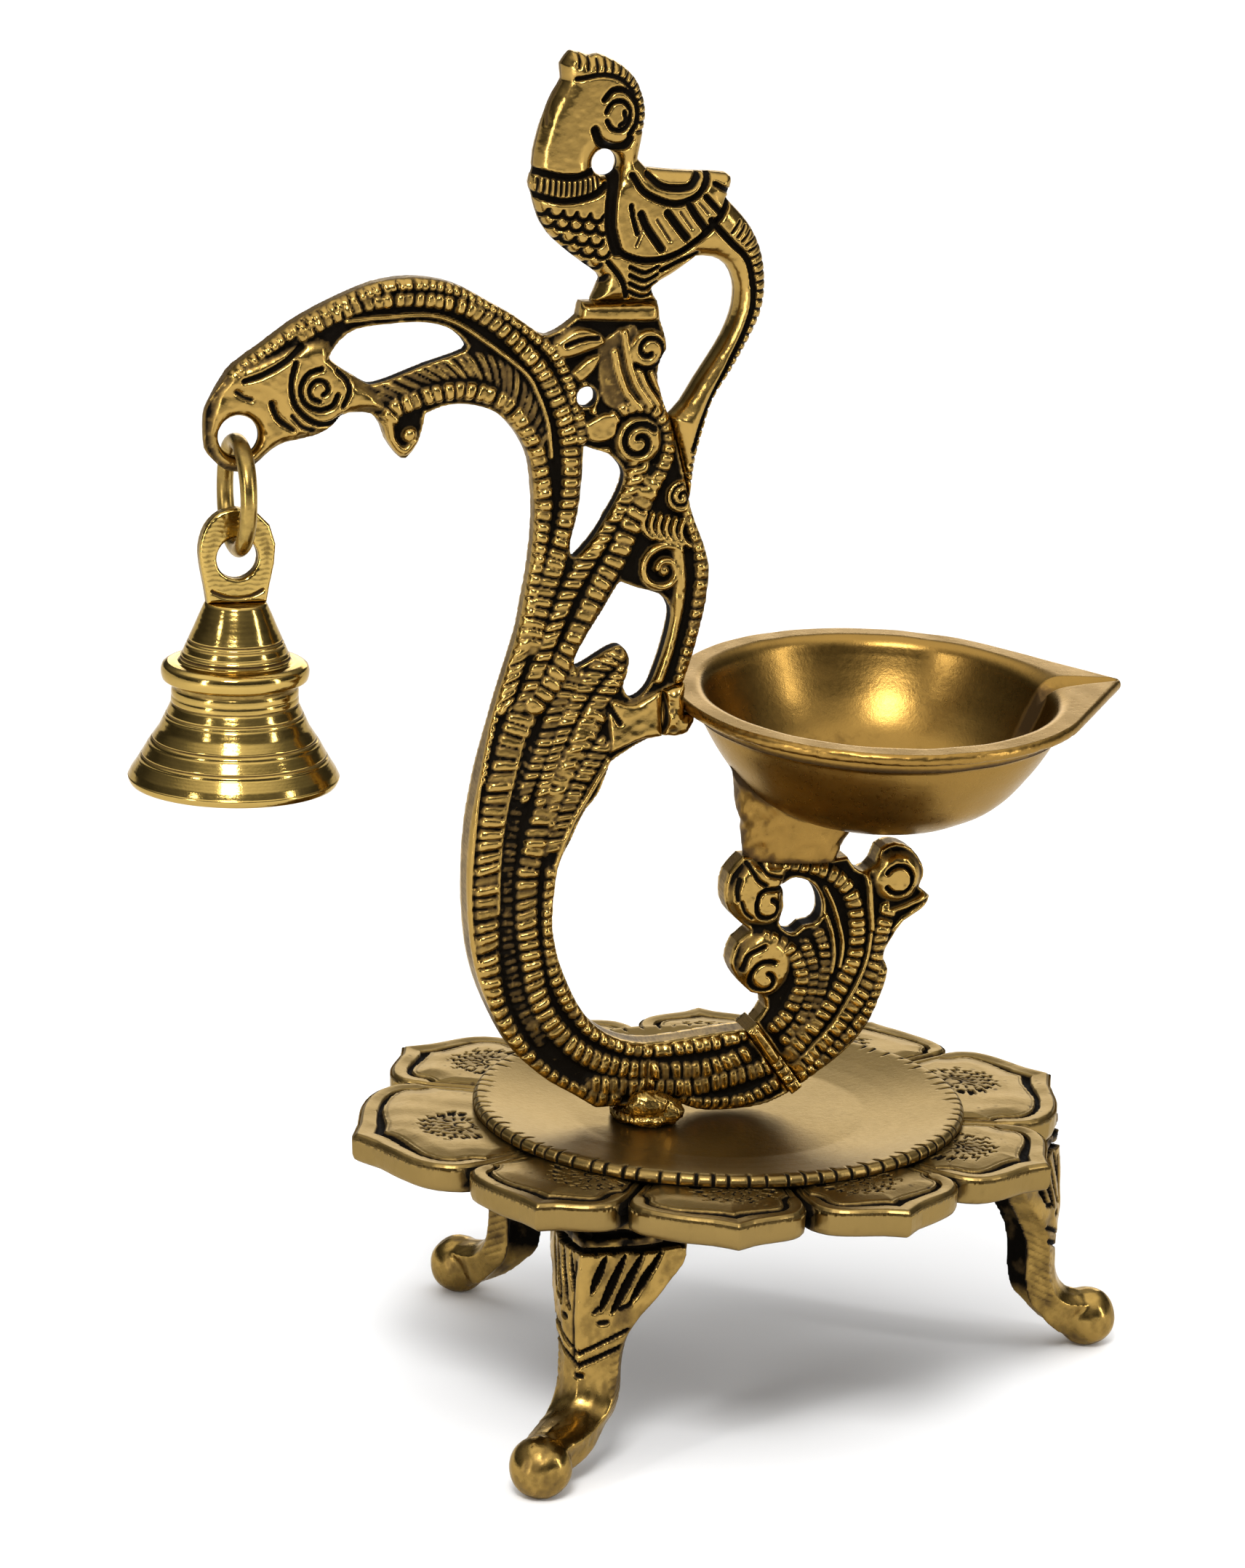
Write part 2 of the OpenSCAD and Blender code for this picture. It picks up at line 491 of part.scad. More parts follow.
// U-shaped staple in the crown that the clapper hangs from
module clapper_staple() color(dark_brass) translate([bell_x, 0, 0]) {
    translate([0, 0, clapper_pivot_z + staple_r]) rotate([90, 0, 90]) rotate([0, 0, 180])
        rotate_extrude(angle = 180, $fn = 64) translate([staple_r, 0]) circle(staple_wire_r, $fn = 24);
    for (side = [-1, 1])
        translate([0, side * staple_r, clapper_pivot_z + staple_r])
            cylinder(h = crown_z - clapper_pivot_z - staple_r, r = staple_wire_r, $fn = 24);
}

module clapper_rod() color(dark_brass) translate([bell_x, 0, 0]) {
    translate([0, 0, clapper_pivot_z]) rotate([90, 0, 0])
        rotate_extrude($fn = 64) translate([hook_r, 0]) circle(hook_wire_r, $fn = 24);
    translate([0, 0, clapper_z + clapper_r - ball_flat])
        cylinder(h = clapper_pivot_z - hook_r - clapper_z - clapper_r + ball_flat, r = 0.9, $fn = 32);
}

module clapper_ball() color(brass) translate([bell_x, 0, clapper_z]) difference() {
    sphere(clapper_r, $fn = 64);
    translate([0, 0, clapper_r - ball_flat + 5]) cube(10, center = true);
}

lotus_plate();
centre_disc();
leg_front();
leg_back();
leg_right();
leg_rivets();
frame_bolt();
frame_washer();
frame_boss();
swan_frame();
collar_band();
tail_scroll();
peacock();
bowl_bracket();
bowl_foot();
oil_bowl();
hanging_ring();
bell_eye();
bell_body();
clapper_staple();
clapper_rod();
clapper_ball();
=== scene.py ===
"""Looks of the brass standing oil lamp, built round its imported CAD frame.

Lengths are in millimetres until a mesh is made; the scene itself is in metres.
"""
import json
import math
import bmesh
import bpy
import numpy as np
from mathutils import Matrix, Vector


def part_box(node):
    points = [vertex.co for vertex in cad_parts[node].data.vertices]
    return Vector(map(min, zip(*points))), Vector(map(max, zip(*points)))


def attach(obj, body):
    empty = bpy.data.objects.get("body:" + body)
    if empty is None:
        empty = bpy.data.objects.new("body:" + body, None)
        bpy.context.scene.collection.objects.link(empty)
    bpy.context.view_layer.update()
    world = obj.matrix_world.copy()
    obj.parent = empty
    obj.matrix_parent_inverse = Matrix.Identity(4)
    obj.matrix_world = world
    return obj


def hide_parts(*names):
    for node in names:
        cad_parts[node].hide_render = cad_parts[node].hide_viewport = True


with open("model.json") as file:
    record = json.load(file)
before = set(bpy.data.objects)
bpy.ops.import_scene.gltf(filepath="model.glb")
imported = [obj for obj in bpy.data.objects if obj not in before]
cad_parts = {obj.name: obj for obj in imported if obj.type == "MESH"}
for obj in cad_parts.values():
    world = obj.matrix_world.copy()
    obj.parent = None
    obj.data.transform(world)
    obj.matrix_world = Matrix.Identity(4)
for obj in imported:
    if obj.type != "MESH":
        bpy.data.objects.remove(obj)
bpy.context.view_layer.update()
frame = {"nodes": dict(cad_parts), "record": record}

MM = 0.001

# ---- camera, stage and light ---------------------------------------------------------------

VIEW_AZIMUTH = math.radians(-16.99)
VIEW_ELEVATION = math.radians(14.96)
VIEW_ROLL = math.radians(1.70)
VIEW_DISTANCE = 1.0005
AIM_SIDE = -0.0198
AIM_HEIGHT = 0.11697
SENSOR = 36.0
LENS = 123.77
FLOOR = 20.0   # half the floor's width
# height, as the sine of the elevation, and brightness of the studio's surroundings
SKY_TONES = [(0.0, 1.0), (0.09, 1.0), (0.12, 0.05), (0.3, 0.07), (0.6, 0.3), (0.85, 1.9)]
# place, aim, size and power of each soft light
LIGHTS = {
    "key_light": ((-0.35, -0.75, 0.95), (0, 0, 0.12), (0.3, 0.3), 9),
    "left_light": ((-0.95, -0.5, 0.35), (0, 0, 0.12), (0.10, 0.7), 4),
    "right_light": ((0.8, -0.6, 0.4), (0, 0, 0.1), (0.09, 0.7), 3.5),
    "back_light": ((1.2, 3.2, 1.0), (0.1, 0, 0.1), (2.0, 1.0), 22),
}


def make_camera():
    right = Vector((math.cos(VIEW_AZIMUTH), math.sin(VIEW_AZIMUTH), 0))
    level = math.cos(VIEW_ELEVATION)
    back = Vector((math.sin(VIEW_AZIMUTH) * level, -math.cos(VIEW_AZIMUTH) * level,
                   math.sin(VIEW_ELEVATION)))
    up = back.cross(right)
    rolled_right = math.cos(VIEW_ROLL) * right + math.sin(VIEW_ROLL) * up
    rolled_up = math.cos(VIEW_ROLL) * up - math.sin(VIEW_ROLL) * right
    data = bpy.data.cameras.new("camera")
    data.lens = LENS
    data.sensor_width = SENSOR
    data.dof.use_dof = False
    camera = bpy.data.objects.new("camera", data)
    place = right * AIM_SIDE + Vector((0, 0, AIM_HEIGHT)) + back * VIEW_DISTANCE
    turn = Matrix((rolled_right, rolled_up, back)).transposed()
    camera.matrix_world = Matrix.Translation(place) @ turn.to_4x4()
    bpy.context.scene.collection.objects.link(camera)
    bpy.context.scene.camera = camera


def softbox(name, place, aim, size, power):
    data = bpy.data.lights.new(name, "AREA")
    data.shape = "RECTANGLE"
    data.size, data.size_y = size
    data.energy = power
    lamp = bpy.data.objects.new(name, data)
    lamp.location = place
    lamp.rotation_mode = "QUATERNION"
    lamp.rotation_quaternion = (Vector(aim) - Vector(place)).to_track_quat("-Z", "Y")
    bpy.context.scene.collection.objects.link(lamp)


def sky():
    """Studio room: pale low down, dim walls, bright ceiling."""
    world = bpy.data.worlds.new("studio")
    bpy.context.scene.world = world
    world.use_nodes = True
    nodes, links = world.node_tree.nodes, world.node_tree.links
    nodes.clear()
    place = add(nodes, "ShaderNodeTexCoord")
    split = add(nodes, "ShaderNodeSeparateXYZ")
    ramp = colour_ramp(nodes, [(height, (tone, tone, tone)) for height, tone in SKY_TONES])
    back = add(nodes, "ShaderNodeBackground")
    out = add(nodes, "ShaderNodeOutputWorld")
    links.new(place.outputs["Generated"], split.inputs[0])
    links.new(split.outputs["Z"], ramp.inputs[0])
    links.new(ramp.outputs[0], back.inputs[0])
    links.new(back.outputs[0], out.inputs[0])


def make_stage():
    corners = [(-FLOOR, -FLOOR, 0), (FLOOR, -FLOOR, 0), (FLOOR, FLOOR, 0), (-FLOOR, FLOOR, 0)]
    floor = mesh_object("floor", corners, [(0, 1, 2, 3)], scale=1)
    floor.data.materials.append(plain_floor())
    sky()
    for name, light in LIGHTS.items():
        softbox(name, *light)
    bpy.context.scene.view_settings.view_transform = "Standard"


def plain_floor():
    material = bpy.data.materials.new("pale_floor")
    material.use_nodes = True
    shader = material.node_tree.nodes["Principled BSDF"]
    shader.inputs["Base Color"].default_value = (0.93, 0.93, 0.93, 1)
    shader.inputs["Roughness"].default_value = 0.9
    shader.inputs["Specular IOR Level"].default_value = 0.1
    return material


# ---- meshes --------------------------------------------------------------------------------

def mesh_object(name, points, faces, scale=MM, smooth=True, relief=None):
    """New object from points and faces; relief is stored for the patina and, in places, for painted shade
    and painted highlight.
    """
    mesh = bpy.data.meshes.new(name)
    coordinates = np.asarray(points, float) * scale
    mesh.from_pydata([tuple(p) for p in coordinates.tolist()], [], faces)
    if smooth:
        mesh.polygons.foreach_set("use_smooth", np.ones(len(mesh.polygons), bool))
    if relief is not None:
        store = mesh.attributes.new("relief", "FLOAT", "POINT")
        store.data.foreach_set("value", np.asarray(relief, np.float32))
    mesh.update()
    made = bpy.data.objects.new(name, mesh)
    bpy.context.scene.collection.objects.link(made)
    return made


def flat_face(node, axes, facing):
    """Boundary of the node's faces that look along facing, as directed segments in mm.

    Returns starts, ends and, for each segment, whether it belongs to an inner window.
    """
    mesh = frame["nodes"][node].data
    mesh.calc_loop_triangles()
    points = np.array([v.co for v in mesh.vertices]) / MM
    corners = np.array([t.vertices for t in mesh.loop_triangles])
    a, b, c = (points[corners[:, k]] for k in range(3))
    normal = np.cross(b - a, c - a)
    normal /= np.maximum(np.linalg.norm(normal, axis=1, keepdims=True), 1e-12)
    corners = corners[normal @ np.array(facing) > 0.99]
    flat, same = np.unique(np.round(points[:, axes], 2), axis=0, return_inverse=True)
    corners = same.ravel()[corners]
    edges = np.concatenate([corners[:, [0, 1]], corners[:, [1, 2]], corners[:, [2, 0]]])
    edges = edges[edges[:, 0] != edges[:, 1]]
    key = np.sort(edges, axis=1) @ np.array([len(flat), 1])
    _, first, count = np.unique(key, return_index=True, return_counts=True)
    rim = edges[first[count == 1]]
    group = np.arange(len(flat))
    for _ in range(len(rim)):
        low = np.minimum(group[rim[:, 0]], group[rim[:, 1]])
        before = group.copy()
        np.minimum.at(group, rim[:, 0], low)
        np.minimum.at(group, rim[:, 1], low)
        if (before == group).all():
            break
    outer = group[rim[np.argmin(flat[rim[:, 0], 0]), 0]]
    return flat[rim[:, 0]], flat[rim[:, 1]], group[rim[:, 0]] != outer


def smooth_line(points, step=0.7):
    """Catmull-Rom curve through the points, sampled about every step."""
    p = np.asarray(points, float)
    p = np.concatenate([[2 * p[0] - p[1]], p, [2 * p[-1] - p[-2]]])
    found = []
    for i in range(1, len(p) - 2):
        a, b, c, d = p[i - 1], p[i], p[i + 1], p[i + 2]
        count = max(2, int(math.ceil(np.linalg.norm(c - b) / step)))
        t = np.arange(count)[:, None] / count
        found.append(0.5 * (2 * b + (c - a) * t + (2 * a - 5 * b + 4 * c - d) * t ** 2
                            + (3 * b - a - 3 * c + d) * t ** 3))
    return np.concatenate(found + [p[-2][None]])


def arc(centre, radius, start, stop, count=9):
    """Points on an arc, angles in degrees, anticlockwise from +X."""
    turns = np.radians(np.linspace(start, stop, count))
    return [(centre[0] + radius * math.cos(t), centre[1] + radius * math.sin(t)) for t in turns]


def spiral(centre, outer, inner, start, turns, count=22):
    """Points of a spiral from its outer end to its inner end."""
    found = []
    for k in range(count):
        share = k / (count - 1)
        radius = outer + (inner - outer) * share
        angle = math.radians(start + 360 * turns * share)
        found.append((centre[0] + radius * math.cos(angle), centre[1] + radius * math.sin(angle)))
    return found


def ease(x):
    """Smooth step from 0 to 1."""
    x = np.clip(x, 0, 1)
    return x * x * (3 - 2 * x)


def dome(gap, reach):
    """1 at gap 0, down to 0 where the gap is as wide as the reach."""
    return np.clip(1 - (gap / reach) ** 2, 0, 1)


def hill(gap, reach):
    """Gaussian bell, 1 at gap 0."""
    return np.exp(-(gap / reach) ** 2)


def line_gap(x, z, a, b):
    """Distance from places to the segment a-b, and the share along it."""
    way = np.array(b, float) - np.array(a, float)
    t = np.clip(((x - a[0]) * way[0] + (z - a[1]) * way[1]) / max(way @ way, 1e-9), 0, 1)
    return np.hypot(x - a[0] - t * way[0], z - a[1] - t * way[1]), t


def crossed(x, z, a, b):
    """Whether the ray from each place along +X crosses the segment a-b."""
    slope = (b[0] - a[0]) / ((b[1] - a[1]) or 1e-9)
    return ((a[1] > z) != (b[1] > z)) & (x < a[0] + (z - a[1]) * slope)


def tube_faces(rows, columns, ring=False):
    """Quads between neighbouring rows of points; a ring joins its last row to its first."""
    faces = []
    for k in range(rows if ring else rows - 1):
        a, b = k * columns, (k + 1) % rows * columns
        for j in range(columns):
            after = (j + 1) % columns
            faces.append((a + j, a + after, b + after, b + j))
    return faces


def capped_tube(rows, columns):
    """Tube with one many-sided face on each end."""
    faces = tube_faces(rows, columns)
    faces.append(tuple(range(columns))[::-1])
    faces.append(tuple((rows - 1) * columns + j for j in range(columns)))
    return faces


# ---- flat castings with carved faces -------------------------------------------------------

RIB_SPREAD = 1.36   # how much wider a ribbed strand is cut than its drawn width
WALL_STEPS = (0.6, 0.2, -0.2, -0.6)   # rows of a wall, as shares of the half thickness


def wall_strip(edges, upper, lower):
    """Quads from the edges between points numbered upper to the same points numbered lower."""
    return np.stack([upper[edges[:, 1]], upper[edges[:, 0]], lower[edges[:, 0]], lower[edges[:, 1]]], 1)


def blurred(field, cells):
    """Mean of the field over a square of 2 * cells + 1 on each side of every point."""
    for axis in (0, 1):
        wide = np.pad(field, [(cells + 1, cells) if k == axis else (0, 0) for k in (0, 1)], mode="edge")
        total = np.cumsum(wide, axis=axis)
        ahead = np.take(total, np.arange(2 * cells + 1, total.shape[axis]), axis=axis)
        behind = np.take(total, np.arange(0, total.shape[axis] - 2 * cells - 1), axis=axis)
        field = (ahead - behind) / (2 * cells + 1)
    return field


class Casting:
    """A flat upright casting whose two faces carry the same carved relief."""

    def __init__(self, node, cell, level=0.0):
        self.node, self.cell = node, cell
        self.starts, self.ends, self.window = flat_face(node, [0, 2], (0, -1, 0))
        low = self.starts.min(0) - 2 * cell
        count = np.ceil((self.starts.max(0) + 2 * cell - low) / cell).astype(int) + 1
        self.x = low[0] + cell * np.arange(count[0])
        self.z = low[1] + cell * np.arange(count[1])
        self.X, self.Z = np.meshgrid(self.x, self.z)
        self.measure()
        self.level = np.full(self.X.shape, float(level))
        self.cut = np.zeros(self.X.shape)
        self.strands = 0
        self.bold = 1.0

    def measure(self):
        """Distance of every grid point to the outline, its nearest point, and what is inside."""
        self.edge = np.full(self.X.shape, np.inf)
        self.near = np.zeros(self.X.shape + (2,))
        self.by_window = np.zeros(self.X.shape, bool)
        self.inside = np.zeros(self.X.shape, bool)
        for a, b, window in zip(self.starts, self.ends, self.window):
            gap, t = line_gap(self.X, self.Z, a, b)
            closer = gap < self.edge
            self.edge[closer] = gap[closer]
            self.near[closer] = a + t[closer][:, None] * (b - a)
            self.by_window[closer] = window
            self.inside ^= crossed(self.X, self.Z, a, b)

    def trace(self, points, reach, step=0.7):
        """Distance from a smooth line, distance along it and side of it, close to it."""
        line = smooth_line(points, step)
        corner = np.array([self.x[0], self.z[0]])
        gap = np.full(self.X.shape, np.inf)
        along, side = np.zeros(self.X.shape), np.zeros(self.X.shape)
        gone = 0.0
        for a, b in zip(line[:-1], line[1:]):
            low = np.floor((np.minimum(a, b) - reach - corner) / self.cell).astype(int)
            high = np.ceil((np.maximum(a, b) + reach - corner) / self.cell).astype(int) + 1
            part = (slice(max(low[1], 0), max(high[1], 0)), slice(max(low[0], 0), max(high[0], 0)))
            x, z = self.X[part], self.Z[part]
            way = b - a
            length = max(math.hypot(*way), 1e-9)
            here, t = line_gap(x, z, a, b)
            closer = here < gap[part]
            gap[part][closer] = here[closer]
            along[part][closer] = (gone + t * length)[closer]
            side[part][closer] = ((way[0] * (z - a[1]) - way[1] * (x - a[0])) / length)[closer]
            gone += length
        return gap, along, side, gone

    def strand(self, points, width, height=1.0, pitch=0.0, notch=0.6, slant=0.0, tip=None):
        """Ridge along a line, cut into ribs when it has a pitch, tapering to the tip width."""
        if pitch:
            width, tip = RIB_SPREAD * width, tip and RIB_SPREAD * tip
        gap, along, side, total = self.trace(points, width)
        ok = np.isfinite(gap)
        share = along[ok] / total
        last = width if tip is None else tip
        half = (width + (last - width) * share) / 2
        across = (gap[ok] / half) ** (3.4 if pitch else 2.2)
        crown = np.clip(1 - across, 0, 1) ** 0.6
        if pitch:
            self.strands += 1
            rng = np.random.default_rng(self.strands)
            tall = rng.uniform(0.68, 1.0, 200)
            shift = rng.uniform(-0.14, 0.14, 200)
            lean = slant * side[ok] + 0.12 * np.sin(along[ok] * 0.4 + self.strands) * side[ok]
            phase = (along[ok] + lean) / pitch
            number = np.floor(phase).astype(int) % 200
            middle = np.abs(phase - np.floor(phase) - 0.5 - shift[number])
            bead = np.clip(1 - across - (middle / 0.47) ** 3.4, 0, 1) ** 0.45
            crown = tall[number] * ((1 - notch) * crown + notch * bead)
        self.level[ok] = np.maximum(self.level[ok], height * crown)

    def groove(self, points, width, depth=0.8):
        """Round-bottomed cut along a line."""
        width = width * (1 + 0.5 * (self.bold - 1))
        gap, _, _, _ = self.trace(points, width, 0.5)
        ok = np.isfinite(gap)
        self.cut[ok] = np.maximum(self.cut[ok], self.bold * depth * dome(gap[ok], width / 2))

    def boss(self, centre, radius, height=1.0):
        """Round knob."""
        gap = np.hypot(self.X - centre[0], self.Z - centre[1])
        self.level = np.maximum(self.level, height * np.sqrt(dome(gap, radius)))

    def pad(self, corners, height=0.8, soft=1.2):
        """Smooth raised area inside a closed outline."""
        ring = smooth_line(list(corners) + [corners[0]], 1.0)
        inside = np.zeros(self.X.shape, bool)
        gap = np.full(self.X.shape, np.inf)
        for a, b in zip(ring[:-1], ring[1:]):
            inside ^= crossed(self.X, self.Z, a, b)
            gap = np.minimum(gap, line_gap(self.X, self.Z, a, b)[0])
        rise = height * np.sin(0.5 * math.pi * np.clip(np.where(inside, gap, 0) / soft, 0, 1)) ** 0.8
        self.level = np.maximum(self.level, rise)

    def grain(self, size, amount, seed):
        """Uneven skin left by the sand mould: smooth noise added to the level."""
        rng = np.random.default_rng(seed)
        total = np.zeros(self.X.shape)
        for octave in (1, 2):
            pitch = size / octave
            shape = (int(np.ptp(self.z) / pitch) + 3, int(np.ptp(self.x) / pitch) + 3)
            lattice = rng.uniform(-1, 1, shape)
            u = (self.X - self.x[0]) / pitch
            v = (self.Z - self.z[0]) / pitch
            i, j = v.astype(int), u.astype(int)
            fu, fv = ease(u - j), ease(v - i)
            top = lattice[i, j] * (1 - fu) + lattice[i, j + 1] * fu
            low = lattice[i + 1, j] * (1 - fu) + lattice[i + 1, j + 1] * fu
            total += (top * (1 - fv) + low * fv) / octave
        return total * amount

    def build(self, half, rounding, depth, rim=0.5, wall=0.62, window_wall=0.2, roughness=0.04):
        """Makes the piece. half is the half thickness; depth is that of the relief's channels."""
        level = np.maximum(self.level, rim * (1 - ease(self.edge)))
        level = np.clip(level + self.grain(0.9, 0.03, 5), 0, 1.05)
        inward = np.clip(np.where(self.inside, self.edge, 0) / rounding, 0, 1)
        shell = half - rounding + rounding * np.sqrt(1 - (1 - inward) ** 2)
        height = shell - depth * (1 - level) * ease(inward * 1.5 + 0.35) - self.cut
        height = np.maximum(height, 0.5) + self.grain(1.6, roughness, 9)
        # hollow is the height above its blurred surroundings: it adds painted shade at the foot of every
        # ridge and a painted highlight on every crest, on top of the patina level
        hollow = height - blurred(np.where(self.inside, height, 0), max(2, round(0.9 / self.cell)))
        hollow = np.where(self.edge > 1.0, hollow, np.maximum(hollow, 0))
        crust = 0.34 * np.clip(self.grain(0.8, 1.0, 12) - 0.1, 0, 1) * (level < 0.5)
        shade = level - (self.cut / 0.9) ** 1.5 + 0.85 * hollow / depth + crust
        self.mesh(height, np.clip(shade, 0, 1), wall, window_wall)

    def mesh(self, height, shade, wall, window_wall):
        """Two mirrored faces at height from the middle, joined by a wall round every outline."""
        inside = self.inside
        cells = inside[:-1, :-1] | inside[:-1, 1:] | inside[1:, :-1] | inside[1:, 1:]
        used = np.zeros(inside.shape, bool)
        for rows, columns in ((0, 0), (0, 1), (1, 0), (1, 1)):
            used[rows:rows + cells.shape[0], columns:columns + cells.shape[1]] |= cells
        x = np.where(inside, self.X, self.near[..., 0])[used]
        z = np.where(inside, self.Z, self.near[..., 1])[used]
        y = height[used]
        count = len(x)
        number = np.full(inside.shape, -1)
        number[used] = np.arange(count)
        rows, columns = np.nonzero(cells)
        quads = np.stack([number[rows, columns], number[rows, columns + 1],
                          number[rows + 1, columns + 1], number[rows + 1, columns]], 1)
        sides = np.concatenate([quads[:, [k, (k + 1) % 4]] for k in range(4)])
        rim = sides[~np.isin(sides @ [count, 1], sides @ [1, count])]

        points = [np.stack([x, -y, z], 1), np.stack([x, y, z], 1)]
        shades = [shade[used], shade[used]]
        faces = [quads, quads[:, ::-1] + count]
        edge = np.unique(rim)
        place = np.full(count, -1)
        place[edge] = np.arange(len(edge))
        tone = np.where(self.by_window[used][edge], window_wall, wall)
        rng = np.random.default_rng(3)
        upper = np.arange(count)
        for k, step in enumerate(WALL_STEPS):
            points.append(np.stack([x[edge], -y[edge] * step, z[edge]], 1))
            shades.append(tone + rng.uniform(-0.05, 0.05, len(tone)))
            lower = 2 * count + k * len(edge) + place
            faces.append(wall_strip(rim, upper, lower))
            upper = lower
        faces.append(wall_strip(rim, upper, np.arange(count) + count))
        made = mesh_object(self.node + "_cast", np.concatenate(points), np.concatenate(faces).tolist(),
                           relief=np.concatenate(shades))
        dress(made, self.node)


# ---- materials -----------------------------------------------------------------------------

def add(nodes, kind, **values):
    node = nodes.new(kind)
    for name, value in values.items():
        if name.startswith("in_"):
            node.inputs[name[3:].replace("_", " ")].default_value = value
        else:
            setattr(node, name, value)
    return node


def colour_ramp(nodes, stops):
    ramp = nodes.new("ShaderNodeValToRGB")
    elements = ramp.color_ramp.elements
    for place, colour in stops[1:-1]:
        elements.new(place)
    for element, (place, colour) in zip(sorted(elements, key=lambda e: e.position), stops):
        element.position = place
        element.color = tuple(colour) + (1,)
    return ramp


def value_ramp(nodes, links, source, low, high, out_low, out_high):
    """Maps source from low..high to out_low..out_high, clamped."""
    node = add(nodes, "ShaderNodeMapRange")
    node.inputs["From Min"].default_value = low
    node.inputs["From Max"].default_value = high
    node.inputs["To Min"].default_value = out_low
    node.inputs["To Max"].default_value = out_high
    links.new(source, node.inputs["Value"])
    return node.outputs["Result"]


def scaled(nodes, links, source, factor, offset):
    node = add(nodes, "ShaderNodeMath", operation="MULTIPLY_ADD")
    node.inputs[1].default_value = factor
    node.inputs[2].default_value = offset
    links.new(source, node.inputs[0])
    return node.outputs[0]


def summed(nodes, links, one, two):
    node = add(nodes, "ShaderNodeMath", operation="ADD")
    links.new(one, node.inputs[0])
    links.new(two, node.inputs[1])
    return node.outputs[0]


GRAZING_TINT = (0.86, 0.78, 0.64, 1)


def patinated_brass(name, dark, middle, bright, polish, grit, cover=(0.22, 0.66)):
    """Cast brass coloured by the relief level: patina left in its recesses, plus the painted shade and
    painted highlight that the level carries; from one row of FINISHES.
    """
    material = bpy.data.materials.new(name)
    material.use_nodes = True
    nodes, links = material.node_tree.nodes, material.node_tree.links
    shader = nodes["Principled BSDF"]
    shader.inputs["Specular Tint"].default_value = GRAZING_TINT
    level = add(nodes, "ShaderNodeAttribute", attribute_name="relief")
    place = add(nodes, "ShaderNodeTexCoord")
    blotch = add(nodes, "ShaderNodeTexNoise", in_Scale=110.0, in_Detail=5.0, in_Roughness=0.6)
    speck = add(nodes, "ShaderNodeTexNoise", in_Scale=900.0, in_Detail=3.0, in_Roughness=0.65)
    grain = add(nodes, "ShaderNodeTexNoise", in_Scale=2600.0, in_Detail=2.0)
    for noise in (blotch, speck, grain):
        links.new(place.outputs["Object"], noise.inputs["Vector"])
    fine = scaled(nodes, links, speck.outputs["Fac"], 0.24, -0.12)
    broad = scaled(nodes, links, blotch.outputs["Fac"], 0.5, -0.25)
    total = summed(nodes, links, summed(nodes, links, level.outputs["Fac"], fine), broad)
    low, high = cover
    ramp = colour_ramp(nodes, [(low, dark), (low + 0.45 * (high - low), middle), (high, bright),
                               (min(high + 0.3, 1.0), [c * 1.15 for c in bright])])
    links.new(total, ramp.inputs["Fac"])
    links.new(ramp.outputs["Color"], shader.inputs["Base Color"])
    metal = value_ramp(nodes, links, total, low, high - 0.1, 0.0, 1.0)
    links.new(metal, shader.inputs["Metallic"])
    shine = value_ramp(nodes, links, total, low, high, 0.06, 0.5)
    links.new(shine, shader.inputs["Specular IOR Level"])
    rough = value_ramp(nodes, links, total, low, high, 0.75, polish)
    uneven = scaled(nodes, links, speck.outputs["Fac"], 0.14, -0.07)
    links.new(summed(nodes, links, rough, uneven), shader.inputs["Roughness"])
    mixed = summed(nodes, links, scaled(nodes, links, grain.outputs["Fac"], 0.4, 0.0), speck.outputs["Fac"])
    bump = add(nodes, "ShaderNodeBump", in_Strength=grit, in_Distance=0.0004)
    links.new(mixed, bump.inputs["Height"])
    links.new(bump.outputs["Normal"], shader.inputs["Normal"])
    return material


# darkest colours of the ramps: patina in the recesses, and painted shade where a level is lowered for shade
BLACK_PATINA_AND_SHADE = (0.0025, 0.0016, 0.0008)
BROWN_PATINA_AND_SHADE = (0.03, 0.016, 0.005)
# colours from recess to ridge, roughness of the ridges, strength of the cast grain and, where
# it isn't the usual one, the span of levels over which the patina fades
FINISHES = {
    "antique_brass": (
        BLACK_PATINA_AND_SHADE, (0.075, 0.043, 0.011), (0.28, 0.176, 0.047), 0.2, 0.08, (0.3, 0.84)),
    "satin_base_brass": (BLACK_PATINA_AND_SHADE, (0.075, 0.043, 0.011), (0.19, 0.125, 0.04), 0.33, 0.10),
    "satin_bowl_brass": (BROWN_PATINA_AND_SHADE, (0.085, 0.044, 0.01), (0.21, 0.12, 0.028), 0.29, 0.08),
    "polished_bell_brass": (BROWN_PATINA_AND_SHADE, (0.11, 0.066, 0.016), (0.34, 0.228, 0.062), 0.13, 0.05),
    "dark_fastener_brass": (BLACK_PATINA_AND_SHADE, (0.06, 0.04, 0.012), (0.16, 0.105, 0.04), 0.4, 0.3),
}
RECORD = frame["record"]
SLOTS = {entry["node"]: entry["material_slot"] for entry in RECORD["subparts"]}
BODIES = {node: body for body, nodes in RECORD["behaviour"]["bodies"].items() for node in nodes}
materials = {}


def make_materials():
    for name, look in FINISHES.items():
        materials[name] = patinated_brass(name, *look)


def dress(piece, node):
    """Puts a finished piece in its CAD node's place with the node's own finish."""
    slot = SLOTS[node]
    piece.data.materials.clear()
    piece.data.materials.append(materials[slot])
    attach(piece, BODIES.get(node, "stand"))
    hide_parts(node)


# ---- swan frame ----------------------------------------------------------------------------

BEAK_EYE = (-94.0, 186.2)
FRAME_HALF = 3.5
CURVE_SWELL = 1.3   # how much thicker each side is below the shoulder


